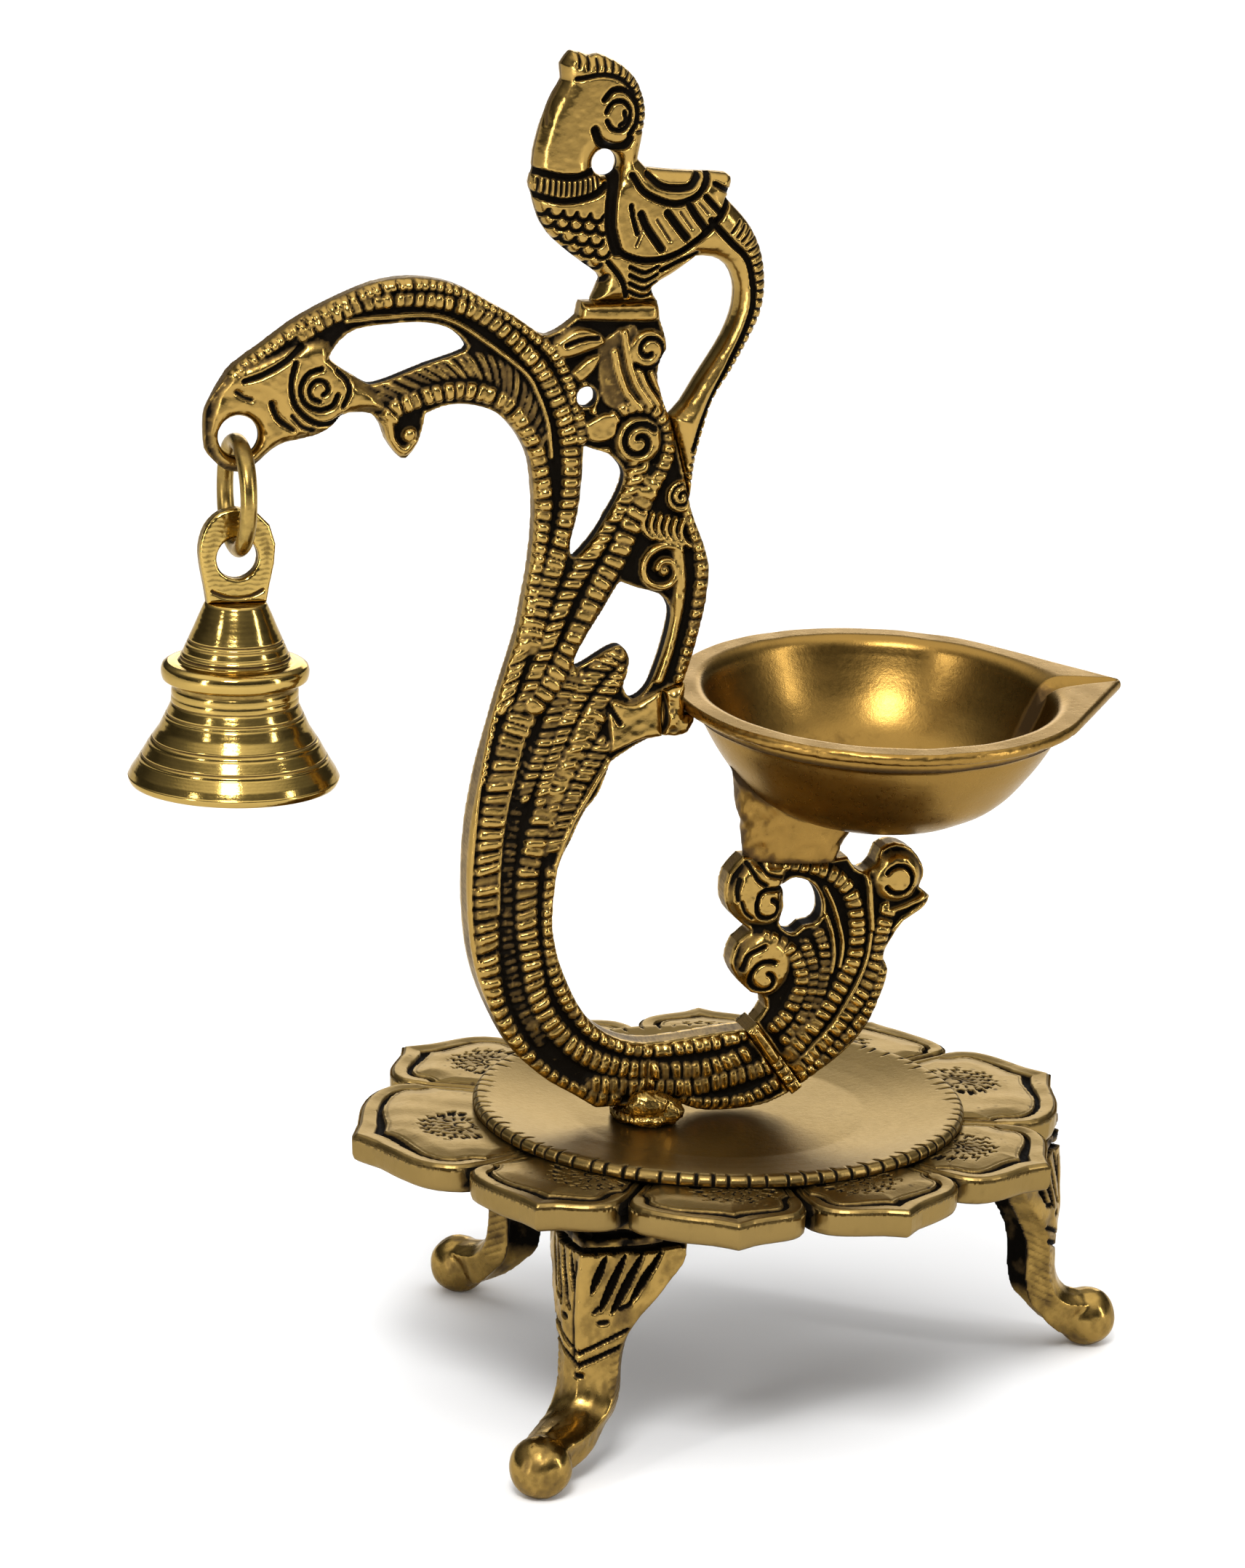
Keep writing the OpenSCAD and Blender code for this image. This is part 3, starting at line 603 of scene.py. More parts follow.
def carve_swan_head(cast):
    cast.pad([(-100.3, 187), (-99, 193.5), (-95, 199), (-88, 201.5), (-80, 204), (-76, 201), (-73, 197),
        (-69, 194), (-67, 190), (-72, 189.5), (-77, 187), (-84, 184.5), (-92, 180), (-98, 181)],
        0.95, 3.2)
    cast.groove([(-93.5, 196.4), (-90, 197.6), (-86, 199.8), (-83, 202.4)], 1.1, 0.8)
    cast.groove([(-94.8, 194.4), (-93.4, 193.4), (-92, 192.9)], 0.9, 0.5)
    outer = [(-84.2, 199.5), (-85, 195.5), (-84, 191.5), (-81, 188.8), (-78, 188.3), (-75.6, 189.4)]
    cast.groove(outer, 1.1, 0.9)
    ring = [(-76.5, 193.5), (-77.5, 191.6), (-80, 190.9), (-82.5, 192.2), (-83.3, 194.8), (-82, 197.4),
        (-79.5, 198.3)]
    cast.groove(ring, 1.0, 0.9)
    inner = [(-79.8, 192.4), (-81.4, 193.2), (-81.6, 195), (-80.4, 196.2), (-78.8, 195.8), (-78.3, 194.4),
        (-79.2, 193.6)]
    cast.groove(inner, 0.9, 0.8)
    cast.groove([(-76.5, 197.8), (-74.8, 196), (-74.5, 193.8), (-75.5, 191.5)], 1.0, 0.8)
    cast.groove([(-88.4, 192.2), (-87.2, 189.4), (-84.6, 187.4)], 1.0, 0.7)
    cast.groove([(-84.8, 190), (-83, 188), (-80.8, 187.2)], 0.9, 0.6)


def carve_arch(cast):
    cast.strand([(-96, 197), (-90, 201.5), (-80, 207.5), (-70, 212), (-62, 213), (-54, 211.5),
        (-46, 207.5), (-40, 203), (-36, 199), (-33.5, 194), (-31.5, 188), (-31, 184)], 1.8, 1.0, 1.5, 0.6)
    cast.strand([(-84, 203.5), (-78, 207), (-72, 209.3), (-65, 210.2), (-58, 209.8), (-52, 208),
        (-47, 205), (-43, 201.5), (-39, 197), (-36, 192), (-34, 187), (-33, 182), (-32.7, 176),
        (-33.2, 170), (-34.5, 164), (-36, 159), (-38, 153), (-39.5, 146)], 1.9, 1.0, 1.9, 0.6, 0, 3.4)
    cast.strand([(-75, 206.6), (-68, 207.1), (-60, 207.3), (-55, 205.9), (-50, 202.8), (-42, 196.6),
        (-39.2, 192), (-37.4, 187), (-36.6, 181)], 1.1, 0.75)
    cast.strand([(-70, 192.5), (-66, 194.5), (-60, 197), (-55, 198), (-50, 197.8), (-46, 196),
        (-43, 192.5), (-40.5, 188), (-39, 183)], 4.0, 0.62, 1.9, 0.8, 0.9)
    cast.strand([(-67, 188), (-66, 190.3), (-63, 191.7), (-59, 192.9), (-54, 193.5), (-50, 193),
        (-46, 191.5), (-43.5, 189), (-41.5, 186), (-39.5, 182), (-38.3, 177), (-37.8, 172), (-38.2, 167),
        (-39, 162), (-40, 156), (-41.5, 147)], 2.8, 1.0, 2.0, 0.6)
    cast.strand([(-67, 188), (-66.3, 184.5), (-64, 182.8), (-61.8, 184.6)], 2.2, 0.9)
    cast.boss((-63, 185.8), 1.7, 0.95)


def carve_column(cast):
    cast.pad([(-29, 201), (-24, 204.6), (-21, 204.4), (-20, 198), (-21, 190), (-27, 190.4)], 0.5, 0.5)
    cast.pad([(-32, 205.4), (-32, 208.9), (-17, 208.9), (-16.5, 205.6), (-20, 205)], 0.95, 1.2)
    cast.pad([(-37.4, 202), (-33, 204.8), (-28.6, 204), (-26.6, 201.6), (-30, 199.8), (-35.5, 198.6)],
        0.95, 1.3)
    cast.groove([(-34.5, 201.4), (-31.5, 202.4), (-28.6, 202.6)], 0.9, 0.8)
    cast.pad([(-34, 196.4), (-30.4, 199.4), (-27.6, 199.8), (-28.6, 196.8), (-31.6, 194.2)], 0.9, 1.1)
    cast.strand([(-25.4, 200), (-24.6, 196.5), (-22.9, 192.5), (-20.2, 189.4)], 2.0, 0.95)
    cast.strand([(-23.6, 203.4), (-22.7, 198.5), (-21.1, 194), (-18.4, 190)], 2.0, 0.95)
    cast.strand([(-20.6, 196.4), (-19.2, 193.4), (-16.8, 190.2)], 1.6, 0.95)
    cast.strand([(-18.4, 196), (-17.2, 193.6), (-15.2, 191)], 1.5, 0.95)
    cast.strand([(-30.6, 194), (-29.2, 191.6), (-28.8, 189)], 1.6, 0.8)
    cast.pad(arc((-19, 200.2), 4.1, 0, 330, 12), 0.98, 1.2)
    cast.groove(spiral((-19, 200.2), 3.6, 0.8, 230, 1.2), 0.95, 0.9)
    cast.pad([(-31, 187), (-27, 189), (-24.4, 188), (-25, 184), (-29.5, 183.4)], 0.9, 0.8)
    cast.pad([(-30.4, 181.6), (-25.6, 182.4), (-24.8, 179), (-28, 177)], 0.8, 0.8)
    cast.pad(arc((-20.3, 183.5), 4.8, 0, 330, 12), 0.95, 1.6)
    cast.groove(spiral((-20.3, 183.3), 3.6, 0.9, 40, 1.2), 1.15, 1.0)
    cast.strand([(-25.6, 187.4), (-22.6, 189.6), (-18, 189.4), (-14.9, 186), (-14.5, 181.5),
        (-15.8, 177.4), (-18, 174)], 2.1, 1.0, 1.8, 0.55)
    cast.pad(arc((-11.8, 172.9), 3.2, 0, 330, 10), 0.95, 0.7)
    cast.groove(spiral((-11.8, 172.9), 2.3, 0.4, 90, 1.3), 0.7, 0.8)
    for k in range(6):
        x, z = -18.6 + 1.45 * k, 170.2 - 0.35 * k
        cast.strand([(x, z), (x - 0.5, z - 2), (x + 0.2, z - 3.8), (x + 1.5, z - 4.8)], 1.15, 0.95)
    cast.strand(spiral((-14.9, 159.3), 4.9, 1.2, 50, 1.3), 1.9, 0.95)
    cast.boss((-14.7, 159.2), 1.2, 0.9)
    cast.strand([(-10.7, 171), (-9.4, 167.5), (-8, 163.5), (-7.4, 159), (-7.7, 154), (-8.6, 148),
        (-10, 142), (-10.7, 138.5)], 2.1, 0.95, 1.8, 0.5)
    cast.strand([(-12.2, 163), (-11.5, 157), (-11.9, 152), (-12.9, 147), (-13.8, 143), (-15.2, 139)],
        2.8, 0.9)
    cast.strand([(-20, 179), (-22, 174), (-24.5, 170), (-27, 165.5), (-30, 160.5), (-33, 155), (-35, 150),
        (-37, 144.5), (-39, 139.5), (-41, 135)], 3.2, 1.0, 2.0, 0.65, 0.5, 2.3)
    cast.strand([(-17, 177), (-19.5, 171.5), (-22, 166), (-24, 161.5), (-26.5, 157), (-28.5, 152.5),
        (-31, 147.5), (-33.5, 142.5), (-36, 138), (-38.5, 135)], 3.4, 1.0, 2.3, 0.6)


def carve_shoulder(cast):
    cast.strand([(-41.3, 146), (-43, 141), (-44.7, 135)], 3.0, 0.9, 1.8, 0.6, 1.0)
    cast.strand([(-46, 133), (-47.5, 127), (-48.6, 121)], 1.4, 0.7, 1.4, 0.6)
    cast.strand([(-42.5, 147), (-45, 138), (-48.5, 124), (-50.2, 105), (-49.9, 93), (-48.3, 84),
        (-45.8, 78)], 1.3, 0.85)
    cast.strand([(-30.6, 140), (-34.2, 134), (-37, 127), (-39, 122), (-40.5, 118)],
        3.0, 0.8, 1.6, 0.7, 0.4, 2.0)
    cast.strand([(-22.6, 144), (-26.2, 141.2), (-30, 136.2), (-33, 130), (-35.8, 123), (-37.4, 117)],
        3.0, 0.95, 1.7, 0.6, 0.5, 2.0)
    cast.strand([(-21.8, 140), (-24.6, 137.2), (-28, 132.4), (-31, 126.5), (-33.6, 120), (-35.6, 113)],
        3.0, 0.95, 1.7, 0.6, 0.5, 2.0)
    cast.strand([(-25.5, 127), (-28.5, 122.5), (-31, 118), (-33.5, 112), (-35, 107)],
        2.8, 0.8, 1.6, 0.7, 0.4)
    cast.strand([(-24.5, 124), (-27, 120), (-29, 116.5), (-31.5, 112), (-33.2, 107), (-34.2, 102)],
        1.4, 0.85)
    cast.pad([(-24.5, 125), (-24.5, 135), (-20, 134.8), (-14, 136.8), (-13.8, 128), (-18, 127.3)],
        0.9, 1.2)
    cast.groove([(-24.4, 134), (-23.4, 132.4), (-22.4, 131)], 1.0, 0.8)


def carve_curve(cast):
    cast.strand([(-40.5, 133.5), (-42.5, 129), (-44, 124), (-45.5, 118), (-46.5, 112), (-47, 105),
        (-47.2, 100), (-47, 94), (-46.7, 88), (-46, 82), (-45, 78), (-43, 73.5), (-40.5, 69.5),
        (-37.5, 66), (-34, 63), (-30, 60.6), (-26, 59), (-22, 58.2)], 4.4, 0.92, 2.2, 0.6, 0.15, 3.2)
    cast.strand([(-38.5, 134), (-41, 128), (-43, 120), (-44.4, 112), (-44.9, 104), (-44.9, 96)], 1.0, 0.7)
    cast.strand([(-37, 128), (-39, 125), (-41, 119), (-42.5, 113), (-43.2, 104), (-43.2, 96), (-42, 85),
        (-40, 78), (-36, 71)], 2.4, 0.38, 1.5, 0.8)
    cast.strand([(-26.5, 133.5), (-29, 129), (-32, 124), (-35, 118), (-37, 113), (-38.3, 108),
        (-39.4, 103), (-39.5, 98), (-39.2, 92), (-38, 85), (-37, 80), (-35, 75.5), (-32, 71.5),
        (-28.5, 68.3), (-24.5, 66), (-20, 64.6), (-15, 63.7), (-9, 63.3), (-3, 63.6), (5, 66)],
        3.8, 0.9, 2.0, 0.6, 0.1, 2.8)
    cast.strand([(-34.6, 104), (-35, 97), (-34.8, 91), (-34.2, 86), (-33, 82), (-31, 78), (-28.5, 74.7),
        (-26, 72), (-23, 70.2), (-19, 68.4), (-14, 67.6), (-8, 67.8), (-2, 68.4), (4, 69.8)],
        2.3, 0.88, 1.9, 0.6)
    cast.strand([(-26, 61.8), (-22, 61.2), (-16, 60.5), (-10, 60.2), (-6, 60), (0, 61), (5, 62.2),
        (9, 63.2)], 2.9, 0.84, 1.8, 0.6)
    cast.strand([(-9, 57.4), (-5, 56.5), (0, 56.3), (5, 57), (10, 59.5)], 2.2, 0.84, 1.7, 0.6)
    cast.boss((-37.5, 74), 1.6, 0.5)


def swan_frame():
    cast = Casting("swan_frame", 0.32)
    cast.bold = 1.4
    carve_swan_head(cast)
    carve_arch(cast)
    carve_column(cast)
    carve_shoulder(cast)
    carve_curve(cast)
    eye_gap = np.hypot(cast.X - BEAK_EYE[0], cast.Z - BEAK_EYE[1])
    half = FRAME_HALF + CURVE_SWELL * ease((134 - cast.Z) / 12) - ease((10.5 - eye_gap) / 3)
    cast.build(half, 2.0, 2.2)


# ---- tail scroll and collar ----------------------------------------------------------------

def carve_upper_scroll(cast):
    cast.pad([(2.6, 103.8), (-0.6, 98), (0, 94), (3, 91.2), (7, 90.6), (10, 91.8), (10.3, 95), (10.8, 99),
        (12, 101.6), (22, 102.4), (22.4, 103)], 0.95, 2.4)
    cast.groove([(10.5, 98), (6, 97.8), (4.8, 95.5), (5.2, 93.2), (7, 92.5), (8.8, 93.4), (9, 95),
        (7.8, 96)], 1.0, 0.9)
    cast.groove([(1.5, 100), (1, 98), (1.2, 96.2)], 0.9, 0.7)
    cast.groove([(3, 103), (4.2, 101), (5, 99.8), (6.5, 98.8)], 0.9, 0.7)
    cast.groove([(5.4, 103), (6.8, 101), (9.5, 100.2)], 0.8, 0.6)
    cast.groove([(1.8, 95.8), (2.6, 93.8), (4, 92.6)], 0.8, 0.6)
    cast.boss((7, 94.8), 1.1, 1.0)


def carve_lower_scroll(cast):
    cast.pad([(1.2, 84), (2.6, 88), (6, 90), (10, 88.5), (12.5, 84.5), (11.5, 79.5), (8, 76.6), (5, 77.6),
        (2, 80.8)], 0.95, 2.4)
    cast.strand([(6, 88.8), (10, 87.2), (13.2, 84), (14.4, 80), (13.8, 77), (12, 73.5), (9.5, 70.8)],
        2.4, 1.0, 1.8, 0.6)
    cast.groove([(2.6, 82.5), (3.6, 85.4), (6.6, 87)], 1.0, 0.8)
    cast.groove(spiral((6.9, 80.6), 3.6, 1.2, 60, 1.0), 1.0, 0.9)
    cast.boss((6.9, 79.7), 1.3, 1.0)


def carve_plumes(cast):
    cast.strand([(6, 102.6), (9, 103), (13, 102.4), (17, 101.4), (20, 99.9), (22.3, 97.8), (23.8, 95.4),
        (24.8, 92), (25.1, 88), (24.7, 84), (23.4, 80.5), (21.7, 77), (19.4, 73.5), (17, 70.5),
        (14.5, 67.5), (12.8, 65.2)], 2.4, 1.0, 1.9, 0.6, 0, 2.8)
    for line in (((18.5, 97.5), (20.2, 94), (21.5, 90), (22.3, 86), (21.8, 82)),
                 ((19, 92), (20.2, 88), (20.6, 84), (20.2, 81)),
                 ((27.8, 88), (27.3, 84), (26, 79.8), (23.8, 75.5), (21, 71), (17.5, 67.2), (14.6, 64.4))):
        cast.strand(line, 1.0, 0.7)
    cast.strand([(17.2, 89.5), (18.6, 86), (19, 82), (18.2, 77), (16, 71.5), (13.5, 67.8)],
        1.9, 0.75, 1.5, 0.6)
    cast.strand([(14.8, 87), (16.6, 82), (16.2, 76.5), (14.3, 71.8), (11.8, 68.2)], 1.9, 0.75, 1.5, 0.6)
    cast.strand([(31, 93), (30, 88), (29.5, 84), (28.3, 80.5), (26.8, 77), (24.4, 73.5), (22, 70.5),
        (19.4, 67.5), (16.5, 64.5), (14.5, 62.5)], 2.6, 1.0, 1.8, 0.6)
    cast.strand([(31, 81.5), (30, 77.5), (28.2, 73.5), (25.8, 70), (22.9, 67), (20, 64.3), (17, 61.6),
        (15.4, 60.4)], 2.2, 1.0, 1.7, 0.6)
    cast.pad(arc((32.5, 99), 5.4, -20, 310, 14), 0.95, 2.4)
    cast.groove(arc((32.6, 98.6), 2.7, -150, 150, 14), 0.9, 0.9)
    cast.boss((32.6, 98.4), 1.4, 1.0)
    cast.strand([(30.5, 92.2), (34, 93.2), (38.6, 95)], 1.6, 0.8)
    cast.strand([(32.4, 88.4), (35.3, 91), (38.2, 93.2)], 1.6, 0.8)
    cast.strand([(26.5, 101), (27.2, 97), (27.6, 93), (28, 89)], 1.5, 0.75)


def tail_scroll():
    cast = Casting("tail_scroll", 0.24)
    cast.bold = 1.3
    carve_upper_scroll(cast)
    carve_lower_scroll(cast)
    carve_plumes(cast)
    cast.build(5.0, 2.6, 2.0)


def collar_band():
    cast = Casting("collar_band", 0.2)
    cast.pad([(4.2, 70), (6, 71.5), (10.6, 65.2), (8.6, 63.8)], 0.95, 0.9)
    cast.strand([(8.6, 65.4), (10.6, 62.4), (13.4, 58.6)], 2.2, 0.95, 1.7, 0.6)
    cast.build(5.0, 0.8, 1.2)


# ---- peacock -------------------------------------------------------------------------------

def carve_peacock_head(cast):
    cast.groove([(-29, 245.6), (-27.4, 247.3), (-24.8, 247), (-22.9, 244.6), (-22.9, 241.4),
        (-24.2, 239.4)], 1.0, 0.8)
    cast.groove([(-30.6, 240.2), (-29.6, 238.2), (-27.4, 237), (-25, 237.4), (-24, 238.6)], 1.4, 0.9)
    cast.groove([(-28.6, 243.4), (-27.6, 245), (-25.6, 245.3), (-24.2, 243.8), (-24.2, 241.6),
        (-25.6, 240.2), (-27.4, 240.4), (-28.4, 241.8)], 0.8, 0.7)
    cast.groove([(-25.2, 243.4), (-24.9, 241.8), (-26, 241)], 0.9, 0.6)
    cast.groove([(-34, 249.3), (-29.5, 250), (-26, 249.2), (-23.4, 246.8)], 0.8, 0.6)
    comb = smooth_line([(-34.4, 252.4), (-31, 251.7), (-28, 251.3), (-25.2, 249.8), (-23, 247),
        (-21.9, 243.6), (-21.6, 239)], 1.75)
    for a in comb:
        cast.boss(a, 1.0, 1.05)
    for a, b in zip(comb[:-1], comb[1:]):
        across = np.array([-(b - a)[1], (b - a)[0]]) / np.linalg.norm(b - a)
        middle = (a + b) / 2
        cast.groove([middle - across, middle + across], 0.5, 0.5)
    cast.groove([(-39, 241), (-38.4, 244.5), (-36.4, 248.5)], 0.7, 0.35)


def carve_peacock_neck(cast):
    cast.groove([(-41.6, 232.9), (-35, 231.8), (-30.5, 232.6)], 1.2, 1.0)
    cast.groove([(-41.6, 228.7), (-36, 227.6), (-31, 228.4), (-28, 230.2)], 1.1, 1.0)
    for k in range(12):
        x = -40.6 + k
        cast.groove([(x, 228.6), (x + 0.1, 231.6)], 0.55, 0.5)
    for row in range(6):
        z = 226.2 - 2.2 * row
        for k in range(7):
            x = -39.8 + 2.5 * k + 1.25 * (row % 2)
            if x < -28.2:
                cast.groove(arc((x, z - 0.3 * k), 1.25, 175, 350, 7), 0.75, 0.7)


def carve_wing(cast):
    cast.groove([(-23.3, 232), (-20.8, 228.8), (-15.6, 226.8), (-11.5, 228), (-9.5, 230.3), (-8.8, 232)],
        1.1, 0.9)
    cast.groove([(-20.3, 232), (-17.6, 229.9), (-13, 229.7), (-10.7, 231.6)], 1.2, 0.8)
    for line, width in ((((-23.5, 226.6), (-23, 224.2), (-22.2, 221.6)), 0.8),
                        (((-21.6, 225), (-20.3, 222.4), (-17.6, 218.7)), 1.3),
                        (((-16.6, 225.2), (-14.9, 223), (-12.9, 220.6)), 1.3),
                        (((-12.6, 226.6), (-11.2, 224.5), (-9.4, 222.3)), 1.2),
                        (((-9.5, 228), (-8.2, 226.6), (-6.6, 225)), 1.0),
                        (((-7.7, 230.2), (-5.8, 229.2), (-4.2, 228.5)), 0.9)):
        cast.groove(line, width, 0.8)
    for line in (((-21, 222.6), (-22.4, 219.4)), ((-18.6, 224), (-16, 220.2)),
                 ((-14.3, 225.4), (-12, 222.4)), ((-10.8, 227), (-9, 225))):
        cast.groove(line, 0.5, 0.3)
    cast.groove([(-26, 219), (-24, 217.5), (-20, 216.6), (-15, 217.6), (-10.5, 220.5), (-7, 224),
        (-5, 227)], 1.1, 1.0)
    cast.groove([(-26.4, 232), (-27.1, 228), (-27.2, 223), (-26, 218.6)], 1.9, 1.0)
    cast.groove([(-27.4, 216.5), (-25, 213.5), (-23.6, 210)], 0.9, 0.8)
    for k in range(4):
        z = 215.6 - 1.5 * k
        cast.groove([(-23.4, z), (-20.6, z - 1.1), (-18, z)], 0.7, 0.7)
    cast.groove([(-17.4, 214.8), (-14, 216.4), (-10.6, 217.6)], 0.9, 0.8)


def carve_tail(cast):
    seam = [(-8, 224), (-4, 219.9), (-1, 217), (0.3, 213), (0.6, 208.5), (-0.8, 203.5), (-3.4, 198),
        (-6, 192.5), (-8.2, 187), (-9.6, 182)]
    cast.groove([(x - 0.4, z - 0.3) for x, z in seam], 1.1, 0.9)
    outer = [(-3.6, 222.4), (-0.6, 219.6), (1, 215.5), (1.9, 210.6), (1.3, 205.5), (-0.6, 200.8),
        (-3.4, 195.4), (-5.8, 190.4), (-7.6, 185), (-8.9, 180), (-9.9, 174)]
    line = smooth_line(outer, 2.0)
    for a, b in zip(line[:-1], line[1:]):
        way = (b - a) / np.linalg.norm(b - a)
        across = np.array([-way[1], way[0]]) * 1.3
        cast.groove([a - across, a, a + across], 0.5, 0.5)


def peacock():
    cast = Casting("peacock", 0.25, level=0.92)
    cast.bold = 1.7
    carve_peacock_head(cast)
    carve_peacock_neck(cast)
    carve_wing(cast)
    carve_tail(cast)
    cast.build(4.5, 4.0, 1.2, rim=0.8, roughness=0.012)


# ---- turned pieces -------------------------------------------------------------------------

def noise_field(points, size, seed):
    """Smooth repeatable noise from -1 to 1 at points in mm."""
    rng = np.random.default_rng(seed)
    total = np.zeros(len(points))
    for _ in range(5):
        way = rng.normal(size=3)
        way /= np.linalg.norm(way)
        pitch = size * rng.uniform(0.7, 1.4)
        bend = rng.normal(size=3) / (size * 1.7)
        phase = rng.uniform(0, 6.28, 2)
        wave = np.sin(points @ way * 6.28 / pitch + phase[0]
                      + 1.6 * np.sin(points @ bend * 3 + phase[1]))
        total += wave
    return total / 3.0


def turned_points(radius, turns, height):
    return np.stack([radius * np.cos(turns), radius * np.sin(turns), height], 2).reshape(-1, 3)


def turned_noise(radius, turns, height, size, seed):
    """Noise on a turned surface, in its own rows and columns."""
    return noise_field(turned_points(radius, turns, height), size, seed).reshape(height.shape)


def revolve(name, radius, height, shade, turns, centre=(0, 0, 0), tilt=0.0):
    """Closed mesh from rows of radius and height over the angles turns.

    The profile runs from the axis below, round the outside, to the axis above.
    """
    rows, columns = radius.shape
    points = turned_points(radius, turns, height)
    points = np.concatenate([points, [[0, 0, height[0].mean()], [0, 0, height[-1].mean()]]])
    shades = np.append(shade.ravel(), [shade[0].mean(), shade[-1].mean()])
    faces = tube_faces(rows, columns)
    low, last = rows * columns, (rows - 1) * columns
    for j in range(columns):
        after = (j + 1) % columns
        faces.append((low, after, j))
        faces.append((low + 1, last + j, last + after))
    lean = math.radians(tilt)
    turn = np.array([[1, 0, 0], [0, math.cos(lean), -math.sin(lean)],
                     [0, math.sin(lean), math.cos(lean)]])
    return mesh_object(name, points @ turn.T + np.array(centre), faces, relief=shades)


def profile_rows(stretches):
    """Joins stretches of (r, z) points; each is a list of points and a count of rows."""
    rows = []
    for points, count in stretches:
        p = np.asarray(points, float)
        gone = np.append(0, np.cumsum(np.hypot(*np.diff(p, axis=0).T)))
        at = np.linspace(0, gone[-1], count)
        rows.append(np.stack([np.interp(at, gone, p[:, 0]), np.interp(at, gone, p[:, 1])], 1))
    return np.concatenate(rows)


# ---- lotus plate and centre disc -----------------------------------------------------------

# direction and radius of each petal's tip, and direction of the gap before it
PETAL_TIPS = [(7, 71), (45, 67), (76, 65.5), (105, 64.5), (134, 70), (180, 71), (223, 66), (256, 64.5),
              (285, 64.5), (320, 66.5)]
PETAL_GAPS = [-20, 25, 61, 90, 117, 152, 202, 235, 270, 304, 340]
PETAL_COLUMNS = 150
PETAL_START = 42.5
PLATE_TOP = 54.0
PLATE_UNDER = 48.7
PLATE_SIDE = [(0.5, 0.0), (1.5, 0.0), (2.7, -0.05), (3.9, -0.1), (4.8, -0.45)]   # depth, reach
DISC_R = 46.3
SEAT_R = 42.0
DISC_EDGE = 56.6
DISC_FLOOR = 54.0
DISC_NOTCHES = 86


def petal_relief(radius, turns, tip, gaps, rim):
    """Height above the plate's face and patina level of one petal, at polar places."""
    tip_turn, tip_r = math.radians(tip[0]), tip[1]
    x, y = radius * np.cos(turns - tip_turn), radius * np.sin(turns - tip_turn)
    corners = np.stack([rim[1] * np.cos(rim[0] - tip_turn), rim[1] * np.sin(rim[0] - tip_turn)], 1)
    out = np.full(radius.shape, np.inf)
    for a, b in zip(corners[:-1], corners[1:]):
        out = np.minimum(out, line_gap(x, y, a, b)[0])
    gap = np.minimum(*(radius * np.sin(np.abs(turns - math.radians(g))) for g in gaps))
    size = tip_r / 66
    near_tip = ease(1 - np.abs(turns - tip_turn) / math.radians(13))
    inset = np.minimum(out, 1.7 * gap + 0.4)
    height = -1.0 * (1 - ease(out / 1.1)) ** 2 - 0.22 * ease((inset - 1.2) / 2.2)
    width = size * (0.95 + 1.25 * near_tip * (1 - 0.35 * near_tip))
    centre = size * (3.5 + 0.9 * near_tip)
    groove = dome(inset - centre, width / 2)
    field = ease((inset - centre - 0.3) / 4.5)
    height += np.where(inset > centre, 0.15 + 0.42 * field, 0)
    height -= 0.95 * groove ** 0.55
    level = 0.88 - 1.0 * groove ** 0.5 - 0.14 * hill(inset - centre, 1.5 * width)
    inner = dome(inset - centre - width / 2 - 0.55, 0.22)
    height -= 0.12 * inner
    level -= 0.25 * inner
    crack = dome(gap, 0.85)
    height -= 2.2 * crack ** 0.6
    level -= 1.1 * crack ** 0.4
    fan_x, fan_y = x - 0.705 * tip_r, y
    fan_r = np.hypot(fan_x, fan_y)
    fan_turn = np.arctan2(fan_y, fan_x) + 0.07 * np.sin(fan_r * 1.3 + 3 * fan_x)
    level -= 0.3 * hill(fan_r - 3.5, 4.2)
    for first, last, rays, phase, wide in ((5.0, 8.6, 9.5, 0.0, 0.42), (2.3, 4.8, 7.0, 0.5, 0.36)):
        phase = phase + 0.10 * (fan_r - first)
        wave = (fan_turn * rays / math.pi + phase) % 1.0 - 0.5
        number = np.floor(fan_turn * rays / math.pi + phase)
        across = np.abs(wave) * math.pi * fan_r / rays
        reach = 0.5 * np.sin(number * 2.4)
        long = np.clip(np.minimum(fan_r - first, last + reach - fan_r) / 1.1, 0, 1)
        stroke = dome(across, wide * np.maximum(long, 0.3)) * (long > 0)
        stroke *= ease((inset - centre - 0.8) / 0.6) * (fan_x > -2.5)
        height -= 0.5 * stroke
        level -= 1.0 * stroke ** 0.6
    for first, last, start in ((1.0, 1.55, -0.4), (2.0, 2.4, 1.9)):
        hook = np.clip(1 - np.abs(fan_r - (first + last) / 2) * 2 / (last - first), 0, 1)
        hook = hook * (np.cos(fan_turn - start) > -0.35)
        level -= 0.8 * ease(2 * hook)
        height -= 0.35 * hook
    return height, np.clip(level, 0, 1)


